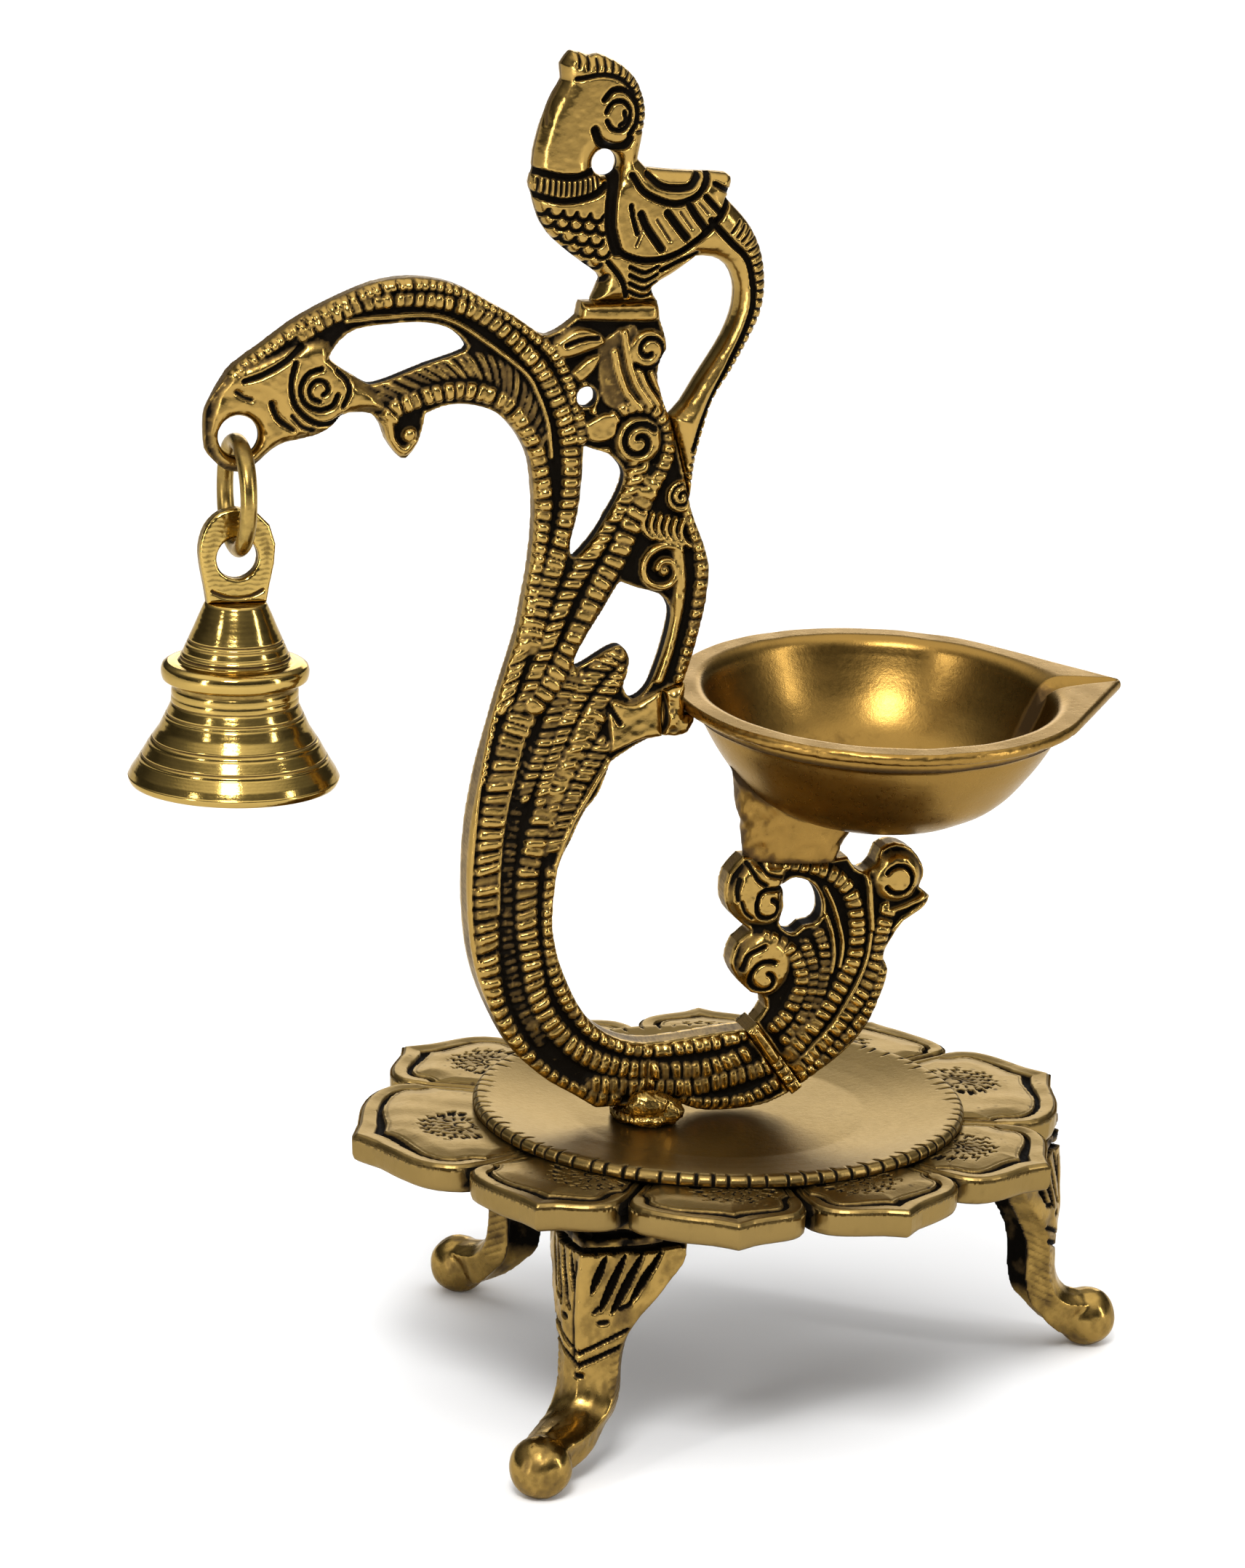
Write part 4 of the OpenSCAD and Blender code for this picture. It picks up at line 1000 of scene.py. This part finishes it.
def lotus_plate():
    starts, _, window = flat_face("lotus_plate", [0, 1], (0, 0, 1))
    rim = starts[~window]
    bearing = np.arctan2(rim[:, 1], rim[:, 0])
    order = np.argsort(bearing)
    bearing, reach = bearing[order], np.hypot(*rim.T)[order]
    bearing = np.concatenate([bearing - 2 * math.pi, bearing, bearing + 2 * math.pi])
    reach = np.tile(reach, 3)
    turns, limits, heights, levels, cracks = [], [], [], [], []
    share = np.linspace(0, 1, 92)[:, None]
    for k, tip in enumerate(PETAL_TIPS):
        gaps = (PETAL_GAPS[k], PETAL_GAPS[k + 1])
        low, high = math.radians(gaps[0]), math.radians(gaps[1])
        turn = low + (high - low) * (np.arange(PETAL_COLUMNS) + 0.5) / PETAL_COLUMNS
        limit = np.interp(turn, bearing, reach)
        near = (bearing > low - 0.1) & (bearing < high + 0.1)
        radius = PETAL_START + (limit - PETAL_START) * share
        height, level = petal_relief(radius, np.broadcast_to(turn, radius.shape), tip, gaps,
                                     (bearing[near], reach[near]))
        turns.append(turn)
        limits.append(limit)
        heights.append(height)
        levels.append(level)
        gap = limit * np.sin(np.minimum(turn - low, high - turn))
        cracks.append(dome(gap, 1.2))
    turns, limit, crack = (np.concatenate(a) for a in (turns, limits, cracks))
    height, level = np.concatenate(heights, 1), np.concatenate(levels, 1)
    top_r = PETAL_START + (limit - PETAL_START) * share
    side_r, side_z = [], []
    for depth, out in PLATE_SIDE:
        side_r.append(limit + out - 0.9 * crack)
        side_z.append(np.full(limit.shape, PLATE_TOP - depth))
    under_r = np.linspace(0, 1, 30)[1:, None] * (limit - 1.2)
    low = PLATE_UNDER + 0.35 * hill(under_r - limit + 5, 2.0)
    web_r = np.linspace(42.2, 1, 8)[:, None] * np.ones(limit.shape)
    radius = np.concatenate([under_r, np.array(side_r[::-1]), top_r[::-1], web_r])
    z = np.concatenate([low, np.array(side_z[::-1]), PLATE_TOP + height[::-1],
                        np.full(web_r.shape, PLATE_TOP - 2)])
    side_level = np.broadcast_to(0.9 - 0.9 * crack, (len(side_r), len(limit)))
    shade = np.concatenate([np.full(low.shape, 0.36), side_level, level[::-1], np.full(web_r.shape, 0.2)])
    wear = turned_noise(radius, turns, z, 9.0, 11)
    nick = np.clip(np.abs(turned_noise(radius, turns, z, 3.0, 13)) - 0.9, 0, 1)
    z = z + 0.06 * wear
    shade = shade + 0.04 * wear - 0.5 * nick
    dress(revolve("lotus_plate_cast", radius, z, shade, turns), "lotus_plate")


def centre_disc():
    columns = DISC_NOTCHES * 14
    turns = np.arange(columns) / columns * 2 * math.pi
    bend = np.radians(np.linspace(-60, 88, 16))
    bead = np.stack([DISC_R - 1.3 + 1.3 * np.cos(bend), DISC_EDGE - 1.35 + 1.3 * np.sin(bend)], 1)
    rows = profile_rows([
        ([(1, PLATE_TOP - 1.9), (SEAT_R, PLATE_TOP - 1.9), (SEAT_R, PLATE_TOP + 0.3),
          (44.8, PLATE_TOP + 0.5)], 12),
        (bead, 18),
        ([(DISC_R - 2.2, DISC_EDGE - 0.12), (DISC_R - 4.5, DISC_EDGE - 0.55),
          (DISC_R - 8.5, DISC_FLOOR + 1.35), (DISC_R - 13, DISC_FLOOR + 0.7), (28, DISC_FLOOR + 0.12),
          (20, DISC_FLOOR), (1, DISC_FLOOR)], 70)])
    radius = rows[:, :1] + np.zeros(columns)
    z = rows[:, 1:] + np.zeros(columns)
    number = turns * DISC_NOTCHES / (2 * math.pi)
    rng = np.random.default_rng(21)
    offset = rng.uniform(-0.16, 0.16, DISC_NOTCHES + 1)
    long = rng.uniform(0.6, 1.15, DISC_NOTCHES + 1)
    deep = rng.uniform(0.6, 1.0, DISC_NOTCHES + 1)
    index = np.round(number).astype(int) % DISC_NOTCHES
    lean = 0.06 * (DISC_R - radius)
    pitch = 2 * math.pi * DISC_R / DISC_NOTCHES
    across = np.abs(number - np.round(number) + offset[index] + lean * 0.25) * pitch
    top = np.arange(len(rows)) >= 16
    start = DISC_R - 3.3 * long[index]
    along = ease((radius - start) / 1.2) * top[:, None]
    notch = dome(across, 0.16 + 0.3 * along) * along * deep[index]
    outward = ease((radius - DISC_R + 1.6) / 1.2)
    z = z - 0.5 * notch * (1 - 0.6 * outward)
    radius = radius - 0.3 * notch * outward
    level = np.full(z.shape, 0.86)
    # painted shade: the seat and the underside of the rolled edge are dark, as the shadow under the
    # overhanging disc
    level[~top] = 0.12
    level = level - 1.0 * notch ** 0.6
    wear = turned_noise(radius, turns, z, 18.0, 4)
    z = z + 0.05 * wear
    dress(revolve("centre_disc_cast", radius, z, np.clip(level + 0.04 * wear, 0, 1), turns), "centre_disc")


# ---- oil bowl ------------------------------------------------------------------------------

BOWL_CENTRE = (29.0, 0.0, 134.5)
BOWL_TILT = 4.0
RIM_R = 39.0
MOUTH_R = 33.0
SPOUT_REACH = 48.0
SPOUT_TIP = 1.5
FLANGE = 2.2
FLAT_SHARE = 0.62   # part of the rim's width that is flat before it rolls into the bowl
# share of the way out from the mouth to the flat rim, and height
BOWL_LIP = [(0.86, -0.08), (0.7, -0.17), (0.54, -0.34), (0.4, -0.58), (0.27, -0.9), (0.14, -1.34),
            (0.0, -2.0)]
BOWL_INNER = [(32.2, -3), (30.4, -7), (27.6, -12), (23.4, -17), (17, -20.6), (9, -22.6), (0.5, -23)]
BOWL_OUTER = [(0.5, -25), (9.5, -24.6), (18, -22.5), (24.8, -18.4), (29.6, -12.5), (32.4, -8), (33.8, -5)]


def rim_reach(turns):
    """Distance from the bowl's centre to the rim's edge, with the spout at angle 0."""
    spout = math.acos((RIM_R - SPOUT_TIP) / (SPOUT_REACH - SPOUT_TIP))
    away = np.abs((turns + math.pi) % (2 * math.pi) - math.pi)
    straight = RIM_R / np.cos(np.minimum(away - spout, 0))
    middle = SPOUT_REACH - SPOUT_TIP
    beside = middle * np.sin(np.minimum(away, math.asin(SPOUT_TIP / middle)))
    tip = middle * np.cos(away) + np.sqrt(SPOUT_TIP ** 2 - beside ** 2)
    return np.where(beside < SPOUT_TIP * 0.98, np.minimum(straight, tip), straight)


def bowl_rows(reach, turns):
    """Rows of the bowl from the axis below, over its rim, to the flat part of the rim.

    Each row is (radius, height, level, part): part 0 is outside, 1 the rim's edge, 2 the top.
    """
    rows = [(r, z, 0.8, 0) for r, z in smooth_line(BOWL_OUTER, 0.9)]
    rows += [(34.3, -4.9, 0.35, 0), (34.9, -4.6, 0.2, 0), (35.1, -3.6, 0.72, 0), (35.2, -2.7, 0.6, 0)]
    keel = np.clip(1.0 - np.abs(reach * np.sin(turns)) / 4.2, 0, 1) * (np.cos(turns) > 0)
    for share in (0.02, 0.12, 0.35, 0.6, 0.9):
        level = 0.15 if share < 0.1 else 0.62
        rows.append((35.3 + (reach - 36.2) * share, -FLANGE - 2.0 * keel * (1 - share ** 2), level, 0))
    for angle in np.radians(np.linspace(-90, 62, 9)):
        rows.append((reach - 0.9 + 0.9 * math.cos(angle), -1.15 + 1.05 * math.sin(angle), 0.95, 1))
    for share in np.linspace(0.03, FLAT_SHARE, 20):
        rows.append((reach - 0.6 + (MOUTH_R - reach + 0.6) * share, -0.06, 0.84, 2))
    return rows


def oil_bowl():
    dense = np.radians(np.linspace(-14, 14, 120, endpoint=False))
    rest = np.radians(np.linspace(14, 346, 360, endpoint=False))
    turns = np.concatenate([dense, rest])
    reach = rim_reach(turns)
    rows = bowl_rows(reach, turns)
    last = MOUTH_R + (1 - FLAT_SHARE) * (reach - 0.6 - MOUTH_R)
    for share, height in BOWL_LIP:
        rows.append((MOUTH_R - 0.55 + (last - MOUTH_R + 0.55) * share, height, 0.86, 2))
    for r, z in smooth_line(BOWL_INNER, 0.8):
        rows.append((r, z, 0.74 + 0.08 * math.cos(z * 0.5), 2))
    radius, z, level, part = (np.array([np.broadcast_to(row[k], turns.shape) for row in rows], float)
                              for k in range(4))
    x, y = radius * np.cos(turns), radius * np.sin(turns)
    upper = part == 2
    deep = 4.4 * ease((x - 22) / 9) * (1 - 0.45 * ease((x - 31) / 5)) * (1 - 0.8 * ease((x - 33) / 15))
    channel = deep * (1 - ease(np.abs(y) / (4.7 - 0.23 * np.maximum(x - 32, 0)))) * upper
    z = np.where(upper & (z > -deep), np.minimum(z, np.maximum(-channel, -deep)), z)
    # painted shade: the spout channel is darker the deeper it is
    level = level - 0.48 * np.clip(channel / 2.6, 0, 1)
    wave = turned_noise(radius, turns, z, 14.0, 8)
    chip = turned_noise(radius, turns, z, 1.3, 31)
    edge = (part == 1) * np.clip(-np.sin(turns + 0.2) + 0.25, 0, 1)
    radius = radius - 0.16 * np.abs(chip) * edge
    z = z + 0.06 * wave + 0.07 * chip * edge
    level = level - 0.22 * np.clip(chip, 0, 1) * edge + 0.03 * wave
    made = revolve("oil_bowl_cast", radius, z, np.clip(level, 0, 1), turns, BOWL_CENTRE, BOWL_TILT)
    dress(made, "oil_bowl")


# ---- bell, ring and eye --------------------------------------------------------------------

BELL_X = BEAK_EYE[0]
# height, half height, depth and darkness of each turned line
BELL_GROOVES = ((149.1, 0.22, 0.3, 0.6), (148.3, 0.2, 0.22, 0.45), (146.9, 0.16, 0.18, 0.4),
                (146.0, 0.3, 0.3, 0.75), (140.6, 0.5, 0.2, 0.4), (138.9, 0.22, 0.15, 0.3),
                (137.6, 0.2, 0.25, 0.55), (135.6, 0.2, 0.22, 0.5), (135.0, 0.14, 0.12, 0.3),
                (131.0, 0.2, 0.28, 0.6), (130.2, 0.14, 0.12, 0.3), (127.9, 0.2, 0.28, 0.6),
                (127.2, 0.12, 0.1, 0.25))


def bell_body():
    columns = 240
    turns = np.arange(columns) / columns * 2 * math.pi
    inside = [(1, 150), (5, 150), (6.4, 148), (8, 145), (9.6, 141), (9.9, 137), (11.2, 134.5), (13, 131),
        (14.9, 128), (16.6, 125), (17, 122.5)]
    lip = [(17, 122.5), (17.8, 122.42), (18.6, 122.7), (18.95, 123.3), (19.08, 124.0)]
    flare = [(19.08, 124.0), (18.5, 125.2), (17.3, 127), (15.6, 130), (13.6, 133), (12.3, 135.8),
        (11.55, 137.4), (11.4, 141.4)]
    flange = [(11.4, 141.4), (12.4, 141.55), (13.1, 142.0), (13.35, 142.9), (13.35, 143.8),
        (13.05, 144.6), (12.3, 145.05), (11.0, 145.2), (10.2, 145.15), (9.9, 145.5)]
    cone = [(9.9, 145.5), (10.1, 145.9), (9.5, 146.9), (8.6, 149), (7.6, 151.2), (6.6, 153.6),
        (5.7, 155.6), (5.4, 156), (1, 156)]
    rows = profile_rows([(inside, 40), (lip, 10), (flare, 110), (flange, 26), (cone, 90)])
    level = np.full(len(rows), 0.86)
    radius = rows[:, 0].copy()
    outer = np.arange(len(rows)) >= 40
    level[~outer] = 0.3
    for height, half, depth, dark in BELL_GROOVES:
        shape = dome(rows[:, 1] - height, half) * outer * (rows[:, 0] > 4)
        radius -= depth * shape
        level -= dark * shape
    level -= 0.5 * hill(rows[:, 1] - 141.3, 0.3) * outer
    radius = radius[:, None] + np.zeros(columns)
    z = rows[:, 1:] + np.zeros(columns)
    shade = np.clip(level, 0, 1)[:, None] + np.zeros(columns)
    lathe = np.sin(z * 19) + np.sin(z * 31 + 1.7)
    radius = radius + 0.035 * np.sin(turns * 3 + z * 0.15) + 0.003 * lathe
    shade = shade + 0.012 * lathe
    dress(revolve("bell_body_turned", radius, z, shade, turns, (BELL_X, 0, 0)), "bell_body")


RING_JOINT = 22   # section of the wire where its two ends meet


def hanging_ring():
    low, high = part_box("hanging_ring")
    centre = (low + high) / 2 / MM
    wire = (high.x - low.x) / MM / 2
    big = (high.z - low.z) / MM / 2 - wire
    count, around = 180, 28
    points, shades = [], []
    for k in range(count):
        turn = 2 * math.pi * k / count
        worn = 1 - 0.06 * math.cos(2 * turn) ** 2 - 0.05 * hill(k - RING_JOINT, 2.0)
        for j in range(around):
            roll = 2 * math.pi * j / around
            flat = 1 - 0.03 * math.cos(3 * roll + turn)
            reach = big + wire * worn * flat * math.cos(roll)
            points.append((centre.x + wire * worn * flat * math.sin(roll), reach * math.sin(turn),
                           centre.z + reach * math.cos(turn)))
            shades.append(0.56 - 0.4 * hill(k - RING_JOINT, 1.2))
    faces = [face[::-1] for face in tube_faces(count, around, ring=True)]
    dress(mesh_object("hanging_ring_wire", points, faces, relief=shades), "hanging_ring")


def bell_eye():
    cast = Casting("bell_eye", 0.16, level=0.62)
    cast.level = cast.level + 0.03 * np.sin(cast.Z * 7 + 0.9 * np.sin(cast.X * 2))
    cast.groove([(-98.6, 158.2), (-96.5, 157.2), (-94, 156.8), (-91.5, 157.2), (-89.4, 158.2)], 0.9, 0.35)
    cast.build(1.75, 0.7, 0.5, rim=0.6, wall=0.5, window_wall=0.35)


# ---- legs ----------------------------------------------------------------------------------

# direction, distance of the shin's front ridge, distance of the foot
LEGS = {"leg_right": (2.0, 70.8, 78.0), "leg_front": (-134.0, 54.6, 68.0), "leg_back": (121.0, 57.0, 66.5)}
BALL_R = 5.8
BALL_Z = 5.5
TOE_REACH = 7.2
RIVET_PAD_R = 40.0
RIVET_PAD_WIDTH = 9.5
RIVET_PAD_THICK = 3.9
# ridge and rear edge as (in front of the shin's ridge, height), half width and set-back of the
# flanks, half width of the rear edges, thickness behind the ridge, share of the toe's reach
LEG_SECTIONS = [
    (-0.8, 48.7, -16.5, 48.7, 13.2, 13.5, 12.2, 6.0, 0.0),
    (-0.8, 46.0, -16.5, 46.0, 13.4, 13.8, 12.2, 6.0, 0.0),
    (-0.4, 43.0, -16.5, 42.5, 14.0, 14.5, 12.4, 5.0, 0.0),
    (0.0, 40.5, -16.5, 38.8, 14.0, 14.5, 12.2, 5.0, 0.0),
    (0.3, 36.5, -15.0, 34.8, 12.2, 12.0, 10.4, 4.5, 0.0),
    (0.5, 32.5, -12.8, 31.0, 10.2, 9.2, 8.4, 4.0, 0.0),
    (0.6, 29.0, -10.8, 28.0, 8.4, 6.8, 6.6, 4.0, 0.0),
    (0.3, 25.5, -9.2, 24.6, 7.0, 4.8, 5.4, 4.0, 0.0),
    (0.0, 21.5, -8.4, 20.6, 6.3, 4.0, 4.8, 4.0, 0.0),
    (0.0, 17.5, -8.2, 15.8, 6.2, 3.8, 4.7, 4.0, 0.0),
    (0.8, 14.2, -7.2, 11.2, 6.0, 3.4, 4.6, 4.5, 0.05),
    (2.6, 12.2, -4.6, 8.4, 5.6, 3.0, 4.4, 6.0, 0.25),
    (4.8, 11.4, -1.4, 5.0, 5.2, 2.4, 4.2, 8.0, 0.6),
    (6.8, 11.0, 3.4, 1.8, 4.2, 2.0, 2.0, 9.4, 1.0)]
SECTION_STEPS = 10


def leg_ring(section, ridge_r, toe):
    """Points once round one section of a leg: ridge, flank, rear edge, hollow rear and back."""
    front, front_z, rear, rear_z, half, fall, rear_half, wall, share = section
    shift = ridge_r + (toe - TOE_REACH) * share
    start = np.array([shift + front, front_z])
    way = np.array([rear - front, rear_z - front_z])
    depth = math.hypot(*way)
    way /= depth
    bulge = 0.14 * half
    corners = [(0, 0), (fall * 0.5 - bulge * 0.5, half * 0.5 + bulge * 0.4), (fall, half),
               (depth, rear_half), (wall, 0)]
    corners += [(d, -w) for d, w in corners[3:0:-1]]
    ring = []
    for (d0, w0), (d1, w1) in zip(corners, corners[1:] + corners[:1]):
        for k in range(SECTION_STEPS):
            t = k / SECTION_STEPS
            place = start + way * (d0 + (d1 - d0) * t)
            ring.append((place[0], w0 + (w1 - w0) * t, place[1]))
    return ring


def leg_blank(ridge_r, foot_r):
    """V-shaped knee and shin, ball foot and rivet pad fused to one mesh, pointing along +X."""
    rings = [leg_ring(s, ridge_r, foot_r - ridge_r) for s in smooth_line(np.array(LEG_SECTIONS), 1.6)]
    form = bmesh.new()
    corners = [form.verts.new([c * MM for c in p]) for ring in rings for p in ring]
    for face in capped_tube(len(rings), len(rings[0])):
        form.faces.new([corners[k] for k in face])
    bmesh.ops.triangulate(form, faces=[f for f in form.faces if len(f.verts) > 4])
    ball = Matrix.Translation(Vector((foot_r, 0, BALL_Z)) * MM)
    bmesh.ops.create_icosphere(form, subdivisions=4, radius=(BALL_R - 0.05) * MM, matrix=ball)
    long = (ridge_r - 8 - RIVET_PAD_R) * MM
    pad = Matrix.Translation(Vector((RIVET_PAD_R * MM + long / 2, 0, (PLATE_UNDER - 2) * MM)))
    pad = pad @ Matrix.Diagonal(Vector((long, RIVET_PAD_WIDTH * MM, RIVET_PAD_THICK * MM))).to_4x4()
    bmesh.ops.create_cube(form, size=1.0, matrix=pad)
    bmesh.ops.recalc_face_normals(form, faces=form.faces)
    return fused(form, 0.36)


def fused(form, voxel):
    """Fuses a bmesh's shells into one even mesh; returns its points in mm, its faces and quads."""
    blank = mesh_object("blank", [], [])
    form.to_mesh(blank.data)
    form.free()
    modifier = blank.modifiers.new("fuse", "REMESH")
    modifier.mode = "VOXEL"
    modifier.voxel_size = voxel * MM
    graph = bpy.context.evaluated_depsgraph_get()
    mesh = blank.evaluated_get(graph).to_mesh()
    points = np.zeros(len(mesh.vertices) * 3)
    mesh.vertices.foreach_get("co", points)
    faces = [tuple(p.vertices) for p in mesh.polygons]
    blank.evaluated_get(graph).to_mesh_clear()
    bpy.data.objects.remove(blank)
    quads = np.array([f if len(f) == 4 else (*f, f[0]) for f in faces])
    return points.reshape(-1, 3) / MM, faces, quads


def relax(points, quads, rounds, pull=0.5):
    """Laplacian smoothing."""
    one = quads.ravel()
    two = np.roll(quads, -1, axis=1).ravel()
    count = np.bincount(one, minlength=len(points)) + np.bincount(two, minlength=len(points))
    for _ in range(rounds):
        total = np.zeros_like(points)
        for axis in range(3):
            total[:, axis] = (np.bincount(one, points[two, axis], len(points))
                              + np.bincount(two, points[one, axis], len(points)))
        points = points + pull * (total / np.maximum(count, 1)[:, None] - points)
    return points


def point_normals(points, quads):
    a, b, c, d = (points[quads[:, k]] for k in range(4))
    face = np.cross(c - a, d - b)
    total = np.zeros_like(points)
    for k in range(4):
        for axis in range(3):
            total[:, axis] += np.bincount(quads[:, k], face[:, axis], len(points))
    return total / np.maximum(np.linalg.norm(total, axis=1, keepdims=True), 1e-12)


# (distance from the ridge line, height) of both ends, half width and depth of each cut
LEG_SLOTS = [((1.9, 34.6), (3.7, 41.4), 0.62, 1.5), ((3.5, 31.4), (6.4, 41.4), 0.68, 1.7),
             ((5.3, 30.8), (8.8, 41.4), 0.68, 1.7), ((7.6, 32.4), (11.1, 41.4), 0.62, 1.6)]
LEG_PITS = [((6.4, 31.4), (7.4, 31.9), 0.5, 0.8), ((3.4, 28.9), (4.6, 29.0), 0.5, 0.8),
            ((2.5, 30.8), (3.1, 31.6), 0.4, 0.7), ((-0.6, 18.4), (0.6, 18.4), 0.6, 0.8)]
LEG_CHEVRONS = [((0, 22.6), (7.4, 27.2), 0.42, 0.9), ((0, 20.3), (7.2, 24.4), 0.5, 1.0)]
LEG_LEDGES = [(42.2, 0.8, 2.2), (45.3, 0.75, 2.2), (48.4, 0.8, 1.8)]


def engrave_leg(points, quads, ridge_r):
    """Cuts the ledges, slots and chevrons into a leg; returns moved points and patina levels."""
    normal = point_normals(points, quads)
    x, y, z = points.T
    side = np.abs(y)
    facing = ease((normal[:, 0] + 0.12) / 0.24)
    cut = np.zeros(len(points))
    uneven = noise_field(points, 7.0, 19)
    for height, half, depth in LEG_LEDGES:
        cut = np.maximum(cut, depth * facing * dome(z + 0.35 * uneven - height, half) ** 0.6)
    for low, high, half, depth in LEG_SLOTS:
        gap, t = line_gap(side, z, low, high)
        width = half * np.sin(math.pi * np.clip(t * 0.9 + 0.08, 0, 1)) ** 0.6
        cut = np.maximum(cut, depth * facing * dome(gap, np.maximum(width, 0.05)) ** 0.6)
    for low, high, half, depth in LEG_PITS + LEG_CHEVRONS:
        cut = np.maximum(cut, depth * facing * dome(line_gap(side, z, low, high)[0], half))
    beside, _ = line_gap(-y, z, (1.3, 22.0), (1.6, 39.5))
    cut = np.maximum(cut, 0.6 * facing * dome(beside, 0.42))
    flank = (x - ridge_r < -2.5) & (z > 11) & (z < 27) & (side > 5.0) & (side < 6.4)
    hatch = np.clip(np.cos((z + 0.5 * x) * 2 * math.pi / 1.5) - 0.35, 0, 1) * flank
    cut = np.maximum(cut, 0.18 * hatch)
    wear = noise_field(points, 5.0, 17)
    fine = noise_field(points, 1.6, 18)
    lump = noise_field(points, 2.6, 20) * ease((z - 40.5) / 2)
    moved = points - normal * cut[:, None]
    moved = moved + normal * (0.08 * wear + 0.02 * fine + 0.16 * lump)[:, None]
    level = 0.76 - 0.95 * np.clip(cut / 0.8, 0, 1) + 0.1 * wear
    level += 0.14 * hill(side, 1.3) * (z > 20) * (z < 41)
    level -= 0.3 * ease((z - 42.0) / 2.0) - 0.2 * lump
    behind = ease((-normal[:, 0] - 0.25) / 0.5) * ease((z - 9) / 5)
    level -= 0.5 * behind
    level += 0.05 * fine
    moved[:, 2] = np.clip(moved[:, 2], 0, PLATE_UNDER - 0.02)
    return moved, np.clip(level, 0, 1)


def legs():
    for node, (angle, ridge_r, foot_r) in LEGS.items():
        points, faces, quads = leg_blank(ridge_r, foot_r)
        points, level = engrave_leg(relax(points, quads, 3), quads, ridge_r)
        c, s = math.cos(math.radians(angle)), math.sin(math.radians(angle))
        turned = points @ np.array([[c, s, 0], [-s, c, 0], [0, 0, 1]])
        dress(mesh_object(node + "_cast", turned, faces, relief=level), node)


# ---- joints between the castings -----------------------------------------------------------

def bowl_foot():
    """Flared neck between the tail scroll and the underside of the bowl."""
    columns, rows = 72, 26
    turns = np.arange(columns) / columns * 2 * math.pi
    points, shades = [], []
    for k in range(rows):
        v = k / (rows - 1)
        left = 3.4 - 3.2 * v ** 1.5
        right = 21.6 + 4.6 * v ** 1.8
        depth = 4.7 + 0.9 * v
        c, s = np.cos(turns), np.sin(turns)
        x = (left + right) / 2 + (right - left) / 2 * np.sign(c) * np.abs(c) ** 0.75
        y = depth * np.sign(s) * np.abs(s) ** 0.75
        bottom = 103.0 - 0.05 * (x - 10)
        outer = np.array(BOWL_OUTER)
        under = BOWL_CENTRE[2] + np.interp(np.hypot(x - BOWL_CENTRE[0], y), outer[:, 0], outer[:, 1])
        under = under + math.tan(math.radians(BOWL_TILT)) * y + 0.9
        z = bottom + (under - bottom) * v
        points.append(np.stack([x, y, z], 1))
        shades.append(np.full(columns, 0.8 - 0.5 * hill(v - 0.93, 0.06) - 0.45 * hill(v, 0.12)))
    points = np.concatenate(points)
    lump = noise_field(points, 6.0, 41)
    bit = noise_field(points, 1.9, 42)
    middle = np.array([12.5, 0])
    way = points[:, :2] - middle
    way /= np.linalg.norm(way, axis=1, keepdims=True)
    points[:, :2] += way * (0.34 * lump + 0.14 * bit)[:, None]
    # darker in patches towards the left end
    left_darkening = ease((7 - points[:, 0]) / 6) * (0.3 + 0.4 * lump)
    shades = np.clip(np.concatenate(shades) + 0.16 * bit + 0.15 * lump - np.clip(left_darkening, 0, 1), 0, 1)
    faces = capped_tube(rows, columns)
    dress(mesh_object("bowl_foot_cast", points, faces, relief=shades), "bowl_foot")


def bowl_bracket():
    cast = Casting("bowl_bracket", 0.2, level=0.82)
    cast.level = cast.level + cast.grain(2.2, 0.18, 6)
    cast.cut = cast.cut + np.clip(cast.grain(1.8, 0.35, 7), 0, 0.5)
    cast.groove([(-14, 136), (-13.4, 132), (-13.9, 128)], 1.3, 0.8)
    cast.build(3.5, 2.0, 0.8, rim=0.7, roughness=0.2)


# centre and half sizes of the lumps that the boss is fused from
BOSS_LUMPS = [((-15.2, -1.2, 55.2), (6.3, 7.9, 2.2)), ((-15.6, -6.6, 58.2), (4.6, 2.6, 2.7)),
              ((-11.8, -6.4, 56.6), (3.0, 2.6, 2.6))]


def frame_boss():
    """Lump of metal that the frame is seated on, with a rough lug in front."""
    form = bmesh.new()
    for centre, size in BOSS_LUMPS:
        place = Matrix.Translation(Vector(centre) * MM) @ Matrix.Diagonal(Vector(size) * MM).to_4x4()
        bmesh.ops.create_icosphere(form, subdivisions=4, radius=1.0, matrix=place)
    points, faces, quads = fused(form, 0.3)
    points = relax(points, quads, 4)
    normal = point_normals(points, quads)
    lump, bit = noise_field(points, 3.2, 51), noise_field(points, 1.1, 52)
    points = points + normal * (0.22 * lump + 0.12 * bit)[:, None]
    points[:, 2] = np.maximum(points[:, 2], DISC_FLOOR - 0.3)
    level = np.clip(0.85 + 0.2 * bit - 0.5 * ease((DISC_FLOOR + 0.8 - points[:, 2]) / 0.8), 0, 1)
    dress(mesh_object("frame_boss_cast", points, faces, relief=level), "frame_boss")


# ---- nodes that keep their CAD shape -------------------------------------------------------

def dress_cad_nodes():
    for name, node in frame["nodes"].items():
        if node.hide_render:
            continue
        level = node.data.attributes.new("relief", "FLOAT", "POINT")
        level.data.foreach_set("value", np.full(len(node.data.vertices), 0.8, np.float32))
        node.data.materials.clear()
        node.data.materials.append(materials[SLOTS[name]])


# ---- everything ----------------------------------------------------------------------------

make_camera()
make_stage()
make_materials()
swan_frame()
tail_scroll()
collar_band()
peacock()
lotus_plate()
centre_disc()
legs()
frame_boss()
bowl_foot()
bowl_bracket()
oil_bowl()
hanging_ring()
bell_eye()
bell_body()
dress_cad_nodes()
